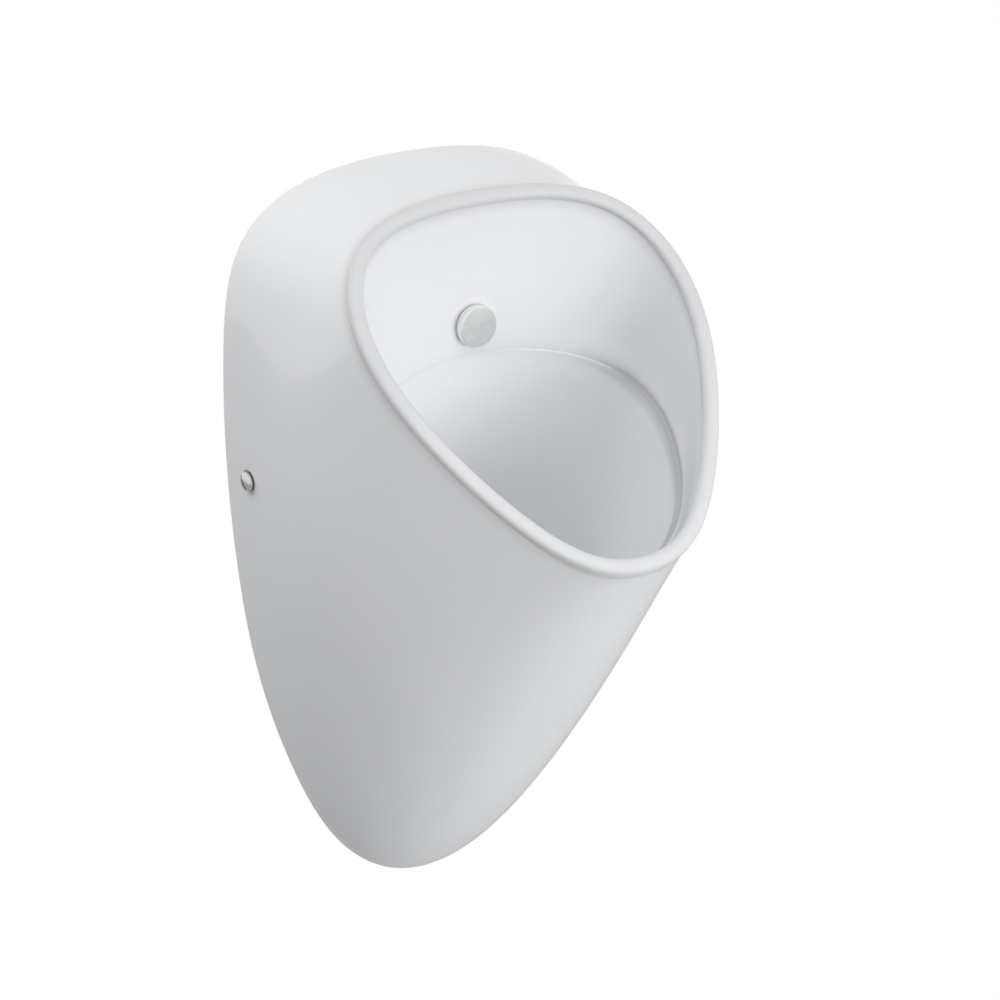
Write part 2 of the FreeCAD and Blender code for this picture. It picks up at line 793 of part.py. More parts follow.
def inletPieces():
    seal = dim("flushPipeRadius") + clear
    back = dim("shankBack")
    gasket = ring("spreader_gasket", dim("shankRadius") + clear, dim("flangeRadius"), inletSeat,
                  inletSeat + dim("gasketThickness"))
    washer = ring("nozzle_washer", dim("shankRadius") + clear, dim("washerRadius"),
                  inletBack - dim("washerThickness"), inletBack)
    rubber = ring("inlet_seal", seal, dim("sealRadius") - clear, back, back + dim("sealHeight") - clear)
    rings = [place(piece, inletBase, FORWARD) for piece in (gasket, washer, rubber)]
    return [spreaderNozzle(), spreaderCap(), nozzleNut(), sealNut(), flushPipe()] + rings


# ---------------------------------------------------------------- waste fitting

wasteTop = wasteSeat + dim("gasketThickness") + dim("wasteFlangeThickness")
dishFloor = wasteTop - dim("dishDepth")
inletSocketTop = -dim("socketDrop")


def wasteFlange():
    """Dished flange in the bowl, a threaded neck through the china and a plain tail into the trap."""
    body = startBody("waste_flange")
    seat = wasteSeat + dim("gasketThickness")
    thread = dim("wasteThreadRadius")
    threadEnd = -dim("wasteThreadLength")
    tailEnd = inletSocketTop - dim("socketDepth") + dim("socketGap")
    rim = dim("wasteFlangeRadius")
    edge = dim("wasteFlangeEdge")
    revolve(body, [(pipeBore, tailEnd), (pipe, tailEnd), (pipe, threadEnd), (thread, threadEnd),
                   (thread, seat), (rim, seat), (rim, wasteTop - edge), (rim - edge, wasteTop),
                   (dim("dishRadius"), wasteTop), (dim("dishRadius"), dishFloor), (pipeBore, dishFloor)])
    return place(body, wasteBase)


def drainStrainer():
    """Lift-out grating: a shallow cone with a flat crown, rings of holes and a collar in the waste."""
    body = startBody("drain_strainer")
    gap = dim("seatGap")
    rim = dim("dishRadius") - gap
    thick = dim("strainerThickness")
    crown = dim("strainerCrown")
    collar = pipeBore - gap
    inner = collar - dim("strainerWall")
    flat = dim("strainerFlat")
    shoulder = dishFloor + dim("strainerShoulder")
    rise = dishFloor + crown
    low = dishFloor - dim("strainerCollar")
    revolve(body, [(0, rise), (flat, rise), (inner, shoulder), (inner, low), (collar, low),
                   (collar, dishFloor), (rim, dishFloor), (rim, dishFloor + dim("strainerLip")),
                   (inner, shoulder + thick), (flat, rise + thick), (0, rise + thick)])
    above = rise + thick * 2
    depth = crown + thick * 3
    sketch = sketchOn(body, "XY_Plane", "middle_hole", above)
    addCircle(sketch, (0, 0), dim("strainerHoleRadius"))
    extrude(body, sketch, depth, "middle", cut=True)
    sketch = sketchOn(body, "XY_Plane", "inner_hole", above)
    addCircle(sketch, (dim("innerHoleCircle"), 0), dim("strainerHoleRadius"))
    hole = extrude(body, sketch, depth, "inner", cut=True)
    polar(body, hole, dim("innerHoles"), "inner_ring")
    sketch = sketchOn(body, "XY_Plane", "outer_hole", above)
    addCircle(sketch, (dim("outerHoleCircle"), 0), dim("strainerHoleRadius"))
    hole = extrude(body, sketch, depth, "outer", cut=True)
    polar(body, hole, dim("outerHoles"), "outer_ring")
    return place(body, wasteBase)


def wasteNut():
    """Lugged ring nut under the china."""
    body = startBody("waste_nut")
    high = -dim("undersealHeight")
    low = high - dim("wasteNutHeight")
    bore = dim("wasteThreadRadius") + clear
    outer = dim("wasteNutRadius")
    revolve(body, [(bore, low), (outer, low), (outer, high), (bore, high)])
    sketch = sketchOn(body, "XY_Plane", "lug_outline", low)
    half = dim("lugWidth") / 2
    inside = outer - dim("lugReach")
    outside = outer + dim("lugReach")
    addOutline(sketch, [(inside, -half), (outside, -half), (outside, half), (inside, half)])
    lug = extrude(body, sketch, dim("lugHeight"), "lug")
    polar(body, lug, dim("lugCount"), "lugs")
    return place(body, wasteBase)


def wastePieces():
    thread = dim("wasteThreadRadius") + clear
    gasket = ring("waste_gasket", thread, dim("wasteFlangeRadius") - dim("wasteGasketInset"), wasteSeat,
                  wasteSeat + dim("gasketThickness"))
    underseal = ring("waste_underseal", thread, dim("undersealRadius"), -dim("undersealHeight"), 0)
    rings = [place(piece, wasteBase) for piece in (gasket, underseal)]
    return [wasteFlange(), drainStrainer(), wasteNut()] + rings


# ---------------------------------------------------------------- trap

outletRise = -floorUnder - dim("outletDrop")          # outlet axis above the flat under the china
armBendLow = outletRise - dim("armBendRadius")
slipAbove = dim("slipNutFace") + dim("slipWasherHeight")
outletSocketTop = armBendLow - dim("slipNutClear") - slipAbove
bendHeight = -dim("trapBendDrop")
slipPlaces = [("inlet", 0, inletSocketTop), ("outlet", dim("trapSpread"), outletSocketTop)]


def slipNut(label, across, socketTop):
    """Ribbed plastic nut whose face squeezes the slip washer round the pipe."""
    body = startBody(label)
    high = socketTop + slipAbove
    low = high - dim("slipNutHeight")
    face = high - dim("slipNutFace")
    outer = dim("slipNutRadius")
    bore = pipe + dim("holeClearance")
    thread = pipe + dim("socketWall") + clear
    edge = dim("slipNutFace") / 3
    revolve(body, [(bore, face), (bore, high), (outer - edge, high), (outer, high - edge), (outer, low),
                   (thread, low), (thread, face)])
    sketch = sketchOn(body, "XY_Plane", "rib_outline", low)
    addCircle(sketch, (outer, 0), dim("ribRadius"))
    rib = extrude(body, sketch, dim("slipNutHeight") - edge * 2, "rib")
    polar(body, rib, dim("ribCount"), "ribs")
    return place(body, (wasteBase[0], wasteBase[1] + across, wasteBase[2]))


def slipWasher(label, across, socketTop):
    """Tapered rubber washer between the socket and the nut's face."""
    body = startBody(label)
    outer = pipe + dim("socketWall")
    high = socketTop + dim("slipWasherHeight")
    lip = socketTop + dim("slipWasherLip")
    revolve(body, [(pipe + clear, socketTop), (outer, socketTop), (outer, lip),
                   (outer - dim("slipWasherTaper"), high), (pipe + clear, high)])
    return place(body, (wasteBase[0], wasteBase[1] + across, wasteBase[2]))


def bendPath(body, name, legs):
    """A spine in the piece's middle plane: straight legs joined by the arcs given with them."""
    sketch = sketchOn(body, "YZ_Plane", name)
    for leg in legs:
        if len(leg) == 2:
            start, end = [Vector(asSize(a).value, asSize(b).value, 0) for a, b in leg]
            index = sketch.addGeometry(Part.LineSegment(start, end), False)
            pin(sketch, index, 1, leg[0])
            pin(sketch, index, 2, leg[1])
        else:
            addArc(sketch, *leg)
    return sketch


def sweep(body, spine, radius, start, name, cut=False):
    """A round rod, or a round bore, along a spine that starts upright."""
    sketch = sketchOn(body, "XY_Plane", name + "_section", start[1])
    addCircle(sketch, (0, start[0]), radius)
    kind = "PartDesign::SubtractivePipe" if cut else "PartDesign::AdditivePipe"
    pipeFeature = body.newObject(kind, name)
    pipeFeature.Profile = sketch
    pipeFeature.Spine = (spine, [])
    doc.recompute()
    return pipeFeature


def trapBend():
    """U-bend with a socket on each leg and a cleanout boss at its lowest point."""
    body = startBody("trap_bend")
    spread = dim("trapSpread")
    radius = spread / 2
    depth = dim("socketDepth")
    inletFloor = inletSocketTop - depth
    outletFloor = outletSocketTop - depth
    legs = [((0, inletFloor), (0, bendHeight)), ((radius, bendHeight), radius, 180, 360),
            ((spread, bendHeight), (spread, outletFloor))]
    spine = bendPath(body, "centre_line", legs)
    sweep(body, spine, pipe, (0, inletFloor), "tube")
    socket = pipe + dim("socketWall")
    root = dim("socketWall")
    for label, across, socketTop in slipPlaces:
        sketch = sketchOn(body, "XY_Plane", label + "_socket_outline", socketTop - depth - root)
        addCircle(sketch, (0, across), socket)
        extrude(body, sketch, depth + root, label + "_socket")
    lowest = bendHeight - radius - pipe
    sketch = sketchOn(body, "XY_Plane", "cleanout_outline", lowest - dim("cleanoutReach"))
    addCircle(sketch, (0, radius), dim("cleanoutRadius"))
    extrude(body, sketch, dim("cleanoutReach") + pipe, "cleanout_boss")
    bore = bendPath(body, "bore_line", legs)
    sweep(body, bore, pipeBore, (0, inletFloor), "bore", cut=True)
    for label, across, socketTop in slipPlaces:
        sketch = sketchOn(body, "XY_Plane", label + "_mouth_outline", socketTop)
        addCircle(sketch, (0, across), pipe + dim("holeClearance"))
        extrude(body, sketch, depth, label + "_mouth", cut=True)
    sketch = sketchOn(body, "XY_Plane", "cleanout_hole", lowest - dim("cleanoutReach"))
    addCircle(sketch, (0, radius), dim("cleanoutBore"))
    extrude(body, sketch, dim("cleanoutReach") + pipe, "cleanout_bore", cut=True, reverse=True)
    return place(body, wasteBase)


def trapArm():
    """Elbow out of the trap's outlet socket and the stub that runs to the wall."""
    body = startBody("trap_arm")
    spread = dim("trapSpread")
    radius = dim("armBendRadius")
    low = outletSocketTop - dim("socketDepth") + dim("socketGap")
    legs = [((spread, low), (spread, armBendLow)), ((spread + radius, armBendLow), radius, 90, 180),
            ((spread + radius, outletRise), (dim("drainReach"), outletRise))]
    sweep(body, bendPath(body, "centre_line", legs), pipe, (spread, low), "tube")
    sweep(body, bendPath(body, "bore_line", legs), pipeBore, (spread, low), "bore", cut=True)
    return place(body, wasteBase)


def cleanoutPlug():
    """Screw plug with a coin slot, under the bend."""
    body = startBody("cleanout_plug")
    head = dim("plugHeadHeight")
    boss = bendHeight - dim("trapSpread") / 2 - pipe - dim("cleanoutReach") - dim("plugSealHeight")
    radius = dim("plugHeadRadius")
    shank = dim("cleanoutBore") - clear
    edge = dim("plugEdge")
    revolve(body, [(0, boss - head), (radius - edge, boss - head), (radius, boss - head + edge),
                   (radius, boss), (shank, boss), (shank, boss + dim("plugShank")),
                   (0, boss + dim("plugShank"))])
    sketch = sketchOn(body, "XY_Plane", "slot_outline", boss - head)
    half = dim("plugSlot") / 2
    reach = dim("plugSlotReach")
    addOutline(sketch, [(-reach, -half), (reach, -half), (reach, half), (-reach, half)])
    extrude(body, sketch, dim("plugSlotDepth"), "coin_slot", cut=True, reverse=True)
    return place(body, (wasteBase[0], wasteBase[1] + dim("trapSpread") / 2, wasteBase[2]))


def trapPieces():
    pieces = [trapBend(), trapArm(), cleanoutPlug()]
    for label, across, socketTop in slipPlaces:
        pieces.append(slipNut(label + "_slip_nut", across, socketTop))
        pieces.append(slipWasher(label + "_slip_washer", across, socketTop))
    boss = bendHeight - dim("trapSpread") / 2 - pipe - dim("cleanoutReach")
    seal = ring("cleanout_seal", dim("cleanoutBore"), dim("cleanoutRadius"), boss - dim("plugSealHeight"), boss)
    pieces.append(place(seal, (wasteBase[0], wasteBase[1] + dim("trapSpread") / 2, wasteBase[2])))
    return pieces


# ---------------------------------------------------------------- side fixings

armOut = sidePadInside - dim("bracketPadThickness")
armIn = armOut - dim("bracketThickness")


def bracket(side):
    """Angle bracket: a flange on the wall with two slots, and an arm that carries the threaded bush."""
    body = startBody(side + "_bracket")
    thick = dim("bracketThickness")
    flangeEnd = armOut - dim("bracketFlange")
    flangeHalf = dim("bracketFlangeHeight") / 2
    armHalf = dim("bracketArmHeight") / 2
    sketch = sketchOn(body, "XY_Plane", "flange_outline", -flangeHalf)
    addOutline(sketch, [(flangeEnd, 0), (flangeEnd, -thick), (armOut, -thick), (armOut, 0)])
    extrude(body, sketch, flangeHalf * 2, "flange")
    sketch = sketchOn(body, "XY_Plane", "arm_outline", -armHalf)
    arm = dim("bracketArm")
    addOutline(sketch, [(armIn, -thick / 2), (armIn, -arm), (armOut, -arm), (armOut, -thick / 2)])
    extrude(body, sketch, armHalf * 2, "arm")
    back = -0.5 * thick.value
    roundEdges(body, dim("bracketBend"), lambda way, middle: abs(way.z) > 0.9 and middle.y > back
               and middle.x > armIn.value, "outer_bend")
    roundEdges(body, dim("bracketCorner"), lambda way, middle: abs(way.x) > 0.9
               and middle.y < -0.9 * arm.value, "arm_corners")
    roundEdges(body, dim("bracketCorner") / 2, lambda way, middle: abs(way.y) > 0.9
               and middle.x < flangeEnd.value + 1, "flange_corners")
    slotRadius = dim("boltSlotRadius")
    straightHalf = dim("boltSlotLength") / 2 - slotRadius
    middle = sidePadInside - dim("boltInset")
    for name, rise in (("upper", dim("boltSpacingZ") / 2), ("lower", -dim("boltSpacingZ") / 2)):
        sketch = sketchOn(body, "XZ_Plane", name + "_slot_outline", thick)
        slotOutline(sketch, middle - straightHalf, middle + straightHalf, rise, slotRadius)
        extrude(body, sketch, thick * 2, name + "_slot", cut=True)
    sketch = sketchOn(body, "YZ_Plane", "bush_hole", armOut)
    addCircle(sketch, (-dim("screwReach"), 0), dim("bushRadius") + clear)
    extrude(body, sketch, thick * 2, "bush_bore", cut=True)
    turn = Rotation(Vector(0, 1, 0), 180) if side == "left" else Rotation()
    return place(body, (0, 0, 0), turn)


def slotOutline(sketch, first, last, rise, radius):
    """Two level lines joined by half circles."""
    ends = [(first, 90, 270), (last, 270, 450)]
    for middle, start, finish in ends:
        centre = Vector(middle.value, rise.value, 0)
        circle = Part.Circle(centre, Vector(0, 0, 1), radius.value)
        arc = Part.ArcOfCircle(circle, math.radians(start), math.radians(finish))
        index = sketch.addGeometry(arc, False)
        pin(sketch, index, 3, (middle, rise))
        held = sketch.addConstraint(Sketcher.Constraint("Radius", index, radius.value))
        sketch.setExpression(f"Constraints[{held}]", radius.text)
    for firstEnd, lastEnd in ((2, 1), (1, 2)):
        start = sketch.Geometry[0].EndPoint if firstEnd == 2 else sketch.Geometry[0].StartPoint
        finish = sketch.Geometry[1].StartPoint if lastEnd == 1 else sketch.Geometry[1].EndPoint
        line = sketch.addGeometry(Part.LineSegment(start, finish), False)
        sketch.addConstraint(Sketcher.Constraint("Tangent", 0, firstEnd, line, 1))
        sketch.addConstraint(Sketcher.Constraint("Tangent", line, 2, 1, lastEnd))


def bush(side, turn):
    """Flanged threaded bush pressed through the bracket's arm from inside."""
    body = startBody(side + "_bush")
    bore = dim("screwRadius") + clear
    back = armIn - dim("bushFlange")
    revolve(body, [(bore, armOut - dim("bracketThickness") - dim("bushLength")),
                   (dim("bushRadius"), armOut - dim("bracketThickness") - dim("bushLength")),
                   (dim("bushRadius"), back), (dim("bushFlangeRadius"), back),
                   (dim("bushFlangeRadius"), armIn), (dim("bushRadius"), armIn),
                   (dim("bushRadius"), armOut), (bore, armOut)])
    return place(body, screwBase, turn)


def sleeve(side, turn):
    """Plastic sleeve that keeps the steel screw off the china, with a collar under the head."""
    body = startBody(side + "_sleeve")
    seat = dim("headSeat")
    bore = dim("screwRadius") + clear
    inside = seat - dim("sleeveLength")
    collar = seat + dim("sleeveCollar")
    revolve(body, [(bore, inside), (dim("sleeveRadius"), inside), (dim("sleeveRadius"), seat),
                   (dim("headRadius"), seat), (dim("headRadius"), collar), (bore, collar)])
    return place(body, screwBase, turn)


def sideScrew(side, turn):
    """Domed screw head with a driver slot, on a plain shank at the thread's outer diameter."""
    body = startBody(side + "_side_screw")
    under = dim("headSeat") + dim("sleeveCollar")
    edge = under + dim("headEdge")
    crown = under + dim("headHeight")
    shank = dim("screwRadius")
    tip = under - dim("screwLength")
    point = dim("screwPoint")
    radius = dim("headRadius")
    dome = [(radius * across, edge + (crown - edge) * along) for across, along in DOME]
    revolve(body, [(0, tip), (shank - point, tip), (shank, tip + point), (shank, under), (radius, under)]
            + dome)
    sketch = sketchOn(body, "XY_Plane", "slot_outline", crown)
    half = dim("slotWidth") / 2
    reach = radius * 2
    addOutline(sketch, [(-half, -reach), (half, -reach), (half, reach), (-half, reach)])
    extrude(body, sketch, dim("slotDepth"), "driver_slot", cut=True)
    return place(body, screwBase, turn)


def fixingPieces():
    pieces = []
    for side, turn in SIDES:
        rubber = ring(side + "_bracket_pad", dim("bushRadius") + dim("holeClearance"),
                      dim("bracketPadRadius"), armOut, sidePadInside)
        pieces.append(place(rubber, screwBase, turn))
        pieces += [bracket(side), bush(side, turn), sleeve(side, turn), sideScrew(side, turn)]
    return pieces


# ---------------------------------------------------------------- build, check and write

pieces = [chinaBody()] + inletPieces() + wastePieces() + trapPieces() + fixingPieces()
doc.recompute()
for thing in doc.Objects:
    if {"Invalid", "Error"} & set(thing.State):
        raise RuntimeError(f"{thing.Label} failed: {thing.State}")
os.makedirs("parts", exist_ok=True)
for piece in pieces:
    shape = piece.Shape
    if shape.isNull() or not shape.isValid() or not shape.Solids:
        raise RuntimeError(f"{piece.Label} has no sound solid")
    box = shape.BoundBox
    print(f"{piece.Label:20s} solids {len(shape.Solids)}  volume {shape.Volume / 1000:9.2f} cm3"
          f"  size {box.XLength:6.1f} x {box.YLength:6.1f} x {box.ZLength:6.1f}")
    shape.exportStep(f"parts/{piece.Label}.step")
print(len(pieces), "pieces")
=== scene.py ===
import math

import bpy
import numpy as np
from mathutils import Matrix, Vector


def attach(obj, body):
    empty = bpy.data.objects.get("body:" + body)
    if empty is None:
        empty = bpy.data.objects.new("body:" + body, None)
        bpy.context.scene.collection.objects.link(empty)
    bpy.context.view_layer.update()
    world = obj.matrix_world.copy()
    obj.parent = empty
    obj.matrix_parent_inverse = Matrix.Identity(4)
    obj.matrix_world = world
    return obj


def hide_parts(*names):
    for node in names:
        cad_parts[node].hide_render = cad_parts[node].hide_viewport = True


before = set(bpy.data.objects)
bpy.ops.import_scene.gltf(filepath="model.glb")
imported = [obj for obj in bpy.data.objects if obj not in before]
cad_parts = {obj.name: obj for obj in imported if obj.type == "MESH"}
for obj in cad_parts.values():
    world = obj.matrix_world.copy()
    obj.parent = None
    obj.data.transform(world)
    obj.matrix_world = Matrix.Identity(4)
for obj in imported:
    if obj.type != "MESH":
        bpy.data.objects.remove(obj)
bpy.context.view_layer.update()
print("frame loaded")

# The wall is the plane Y = 0, the user stands at -Y and Z is up. Shapes are worked out in millimetres
# and put into the meshes in metres.
millimetre = 0.001
toWall = np.array([0.0, 1.0, 0.0])
upwards = np.array([0.0, 0.0, 1.0])
sides = {"left": -1.0, "right": 1.0}


def meshObject(name, points, quads, materials, triangles=None):
    # a mesh from whole arrays; it is turned over if its signed volume comes out negative
    triangles = np.zeros((0, 3), int) if triangles is None else triangles
    fan = np.concatenate([quads[:, [0, 1, 2]], quads[:, [0, 2, 3]], triangles])
    corners = points[fan]
    volume = np.einsum("ij,ij->i", corners[:, 0], np.cross(corners[:, 1], corners[:, 2])).sum()
    if volume < 0:
        quads, triangles = quads[:, ::-1], triangles[:, ::-1]
    mesh = bpy.data.meshes.new(name)
    mesh.vertices.add(len(points))
    mesh.vertices.foreach_set("co", (points * millimetre).astype(np.float32).ravel())
    mesh.loops.add(quads.size + triangles.size)
    mesh.loops.foreach_set("vertex_index", np.concatenate([quads.ravel(), triangles.ravel()]).astype(np.int32))
    starts = np.concatenate([np.arange(len(quads)) * 4, quads.size + np.arange(len(triangles)) * 3])
    mesh.polygons.add(len(starts))
    mesh.polygons.foreach_set("loop_start", starts.astype(np.int32))
    mesh.update(calc_edges=True)
    for material in materials:
        mesh.materials.append(material)
    thing = bpy.data.objects.new(name, mesh)
    bpy.context.scene.collection.objects.link(thing)
    return thing


def closedForm(name, grid, startPole, endPole, materials):
    # rows of closed rings, capped at both ends by a fan of triangles to a pole
    rows, columns = grid.shape[:2]
    points = np.concatenate([grid.reshape(-1, 3), [startPole], [endPole]])
    row = np.arange(rows - 1)[:, None] * columns
    column = np.arange(columns)
    following = (column + 1) % columns
    quads = np.stack([row + column, row + following, row + columns + following, row + columns + column], -1)
    last = (rows - 1) * columns
    startFan = np.stack([np.full(columns, rows * columns), following, column], -1)
    endFan = np.stack([np.full(columns, rows * columns + 1), last + column, last + following], -1)
    return meshObject(name, points, quads.reshape(-1, 4), materials, np.concatenate([startFan, endFan]))


def turnedForm(name, profile, base, axis, segments, materials):
    # a profile of (radius, height) rows turned about an axis through base; it starts and ends on the axis
    axis = np.array(axis, float)
    mostUpright = 0.9
    across = np.cross(axis, [0.0, 0.0, 1.0] if abs(axis[2]) < mostUpright else [1.0, 0.0, 0.0])
    across /= np.linalg.norm(across)
    along = np.cross(axis, across)
    turn = np.linspace(0, 2 * np.pi, segments, endpoint=False)
    outward = np.cos(turn)[:, None] * across + np.sin(turn)[:, None] * along
    profile = np.array(profile, float)
    inner = profile[1:-1]
    grid = base + inner[:, 0][:, None, None] * outward[None] + inner[:, 1][:, None, None] * axis
    return closedForm(name, grid, base + profile[0][1] * axis, base + profile[-1][1] * axis, materials)


def softCorners(outline, radii, steps):
    # a polyline whose corners are rounded: each becomes a quadratic curve that starts and ends one radius away
    mostOfSide = 0.49
    outline = np.array(outline, float)
    rounded = [outline[:1]]
    share = np.linspace(0, 1, steps)[:, None]
    for before, corner, after, radius in zip(outline[:-2], outline[1:-1], outline[2:], radii):
        toBefore, toAfter = np.linalg.norm(before - corner), np.linalg.norm(after - corner)
        reach = min(radius, mostOfSide * toBefore, mostOfSide * toAfter)
        start = corner + (before - corner) / toBefore * reach
        end = corner + (after - corner) / toAfter * reach
        rounded.append((1 - share) ** 2 * start + 2 * share * (1 - share) * corner + share ** 2 * end)
    return np.concatenate(rounded + [outline[-1:]])


def carve(target, tool):
    # the tool is cut out and used up; its faces bring their own material
    change = target.modifiers.new("carve", "BOOLEAN")
    change.operation = "DIFFERENCE"
    change.object = tool
    change.solver = "MANIFOLD"
    change.material_mode = "TRANSFER"
    bpy.context.view_layer.update()
    shaped = bpy.data.meshes.new_from_object(target.evaluated_get(bpy.context.evaluated_depsgraph_get()))
    target.modifiers.clear()
    target.data = shaped
    bpy.data.objects.remove(tool)


def finishPiece(thing, body, nodes, smooth=30.0):
    # smooth shading that breaks at edges sharper than the given angle
    thing.data.polygons.foreach_set("use_smooth", np.ones(len(thing.data.polygons), bool))
    thing.data.set_sharp_from_angle(angle=math.radians(smooth))
    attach(thing, body)
    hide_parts(*nodes)


camera = {
    "azimuth": -34.64,
    "elevation": 22.12,
    "roll": 0.9,
    "lens": 89.6,
    "sensor": 36.0,
    "clip": (0.05, 50.0),
    "distance": 1.85828,
    "target": (0.01628, -0.1016, -0.02943),
}


def makeCamera():
    # an orbit camera: its back vector comes from azimuth and elevation, then it rolls about that vector
    turn, rise, roll = [math.radians(camera[key]) for key in ("azimuth", "elevation", "roll")]
    back = Vector((math.sin(turn) * math.cos(rise), -math.cos(turn) * math.cos(rise), math.sin(rise)))
    right = Vector((math.cos(turn), math.sin(turn), 0))
    up = back.cross(right)
    rolledRight = right * math.cos(roll) + up * math.sin(roll)
    rolledUp = up * math.cos(roll) - right * math.sin(roll)
    lens = bpy.data.cameras.new("photoCamera")
    lens.sensor_width = camera["sensor"]
    lens.lens = camera["lens"]
    lens.clip_start, lens.clip_end = camera["clip"]
    eye = bpy.data.objects.new("photoCamera", lens)
    eye.matrix_world = Matrix((rolledRight, rolledUp, back)).transposed().to_4x4()
    eye.location = Vector(camera["target"]) + back * camera["distance"]
    bpy.context.scene.collection.objects.link(eye)
    bpy.context.scene.camera = eye


makeCamera()
print("camera placed")


def newMaterial(name):
    # a node material, its nodes and its main shader
    material = bpy.data.materials.new(name)
    material.use_nodes = True
    nodes = material.node_tree.nodes
    return material, nodes, nodes["Principled BSDF"]


def newEffect(name, inputs, output):
    # an empty node group: number sockets with their usual values, a vector to say where, and one outcome
    effect = bpy.data.node_groups.new(name, "ShaderNodeTree")
    effect.interface.new_socket("Vector", in_out="INPUT", socket_type="NodeSocketVector")
    for label, value in inputs.items():
        effect.interface.new_socket(label, in_out="INPUT", socket_type="NodeSocketFloat").default_value = value
    effect.interface.new_socket(output, in_out="OUTPUT", socket_type="NodeSocketFloat")
    given, result = effect.nodes.new("NodeGroupInput"), effect.nodes.new("NodeGroupOutput")
    return effect.nodes, given.outputs, result.inputs[output]


def feed(value, socket):
    # a socket takes a number or a colour as its own value, and another socket as a link
    if isinstance(value, (int, float, tuple)):
        socket.default_value = value
    else:
        socket.id_data.links.new(value, socket)


def calculate(nodes, operation, *values):
    # one Math node; each value is a socket or a number
    node = nodes.new("ShaderNodeMath")
    node.operation = operation
    for value, socket in zip(values, node.inputs):
        feed(value, socket)
    return node.outputs[0]


def noise(nodes, vector, scale, detail, roughness=0.5):
    # cloud noise from 0 to 1; its scale is a socket or a number
    node = nodes.new("ShaderNodeTexNoise")
    feed(detail, node.inputs["Detail"])
    feed(roughness, node.inputs["Roughness"])
    feed(vector, node.inputs["Vector"])
    feed(scale, node.inputs["Scale"])
    return node.outputs["Fac"]


def makeSurfaceGrain():
    # a broad unevenness with a finer one on top of it, from -0.5 to 0.5
    usual = {"scale": 60.0, "fineness": 9.0, "fineShare": 0.3}
    nodes, given, result = newEffect("surfaceGrain", usual, "Height")
    broad = noise(nodes, given["Vector"], given["scale"], detail=2.0)
    fineScale = calculate(nodes, "MULTIPLY", given["scale"], given["fineness"])
    fine = noise(nodes, given["Vector"], fineScale, detail=3.0)
    difference = calculate(nodes, "SUBTRACT", fine, broad)
    mixed = calculate(nodes, "MULTIPLY_ADD", difference, given["fineShare"], broad)
    feed(calculate(nodes, "SUBTRACT", mixed, 0.5), result)


def makeTurnedRings():
    # lathe rings: noise read along the distance from the Z axis of the given vector, so it is the same all round
    wanderScale = 120.0
    nodes, given, result = newEffect("turnedRings", {"scale": 2500.0, "unevenness": 0.15}, "Height")
    apart = nodes.new("ShaderNodeSeparateXYZ")
    feed(given["Vector"], apart.inputs[0])
    squareX = calculate(nodes, "MULTIPLY", apart.outputs["X"], apart.outputs["X"])
    squares = calculate(nodes, "MULTIPLY_ADD", apart.outputs["Y"], apart.outputs["Y"], squareX)
    wander = noise(nodes, given["Vector"], wanderScale, detail=1.0)
    wanderReach = calculate(nodes, "MULTIPLY", given["unevenness"], millimetre)
    along = nodes.new("ShaderNodeCombineXYZ")
    feed(calculate(nodes, "SQRT", squares), along.inputs["X"])
    feed(calculate(nodes, "MULTIPLY", wander, wanderReach), along.inputs["Y"])
    feed(apart.outputs["Z"], along.inputs["Z"])
    rings = noise(nodes, along.outputs[0], given["scale"], detail=2.0, roughness=0.6)
    feed(calculate(nodes, "SUBTRACT", rings, 0.5), result)


def makeSmudges():
    # cloudy patches that handling leaves, from 0 to 1
    usual = {"scale": 45.0, "threshold": 0.5, "softness": 0.15}
    nodes, given, result = newEffect("smudges", usual, "Mask")
    cloud = noise(nodes, given["Vector"], given["scale"], detail=5.0, roughness=0.62)
    edge = nodes.new("ShaderNodeMapRange")
    edge.interpolation_type = "SMOOTHSTEP"
    feed(cloud, edge.inputs["Value"])
    for operation, socket in (("SUBTRACT", "From Min"), ("ADD", "From Max")):
        feed(calculate(nodes, operation, given["threshold"], given["softness"]), edge.inputs[socket])
    feed(edge.outputs["Result"], result)


def makeSettledDust():
    # dust lies where the surface faces up, in patches
    leastRise = 0.1
    nodes, given, result = newEffect("settledDust", {"amount": 0.4, "scale": 160.0}, "Mask")
    surface = nodes.new("ShaderNodeNewGeometry")
    apart = nodes.new("ShaderNodeSeparateXYZ")
    feed(surface.outputs["Normal"], apart.inputs[0])
    upward = nodes.new("ShaderNodeMapRange")
    feed(leastRise, upward.inputs["From Min"])
    feed(apart.outputs["Z"], upward.inputs["Value"])
    patches = noise(nodes, given["Vector"], given["scale"], detail=4.0, roughness=0.6)
    patchy = calculate(nodes, "MULTIPLY", upward.outputs["Result"], patches)
    feed(calculate(nodes, "MULTIPLY", patchy, given["amount"]), result)


for makeEffect in (makeSurfaceGrain, makeTurnedRings, makeSmudges, makeSettledDust):
    makeEffect()
quarter = math.pi / 2
patternTurns = {"x": (0, quarter, 0), "y": (quarter, 0, 0), "z": (0, 0, 0)}


def patternSpace(nodes, centre=(0, 0, 0), axis="z"):
    # object coordinates moved to a centre line, which becomes the pattern's Z axis
    coordinates = nodes.new("ShaderNodeTexCoord")
    mapping = nodes.new("ShaderNodeMapping")
    mapping.vector_type = "TEXTURE"
    feed(tuple(value * millimetre for value in centre), mapping.inputs["Location"])
    feed(patternTurns[axis], mapping.inputs["Rotation"])
    feed(coordinates.outputs["Object"], mapping.inputs["Vector"])
    return mapping.outputs["Vector"]


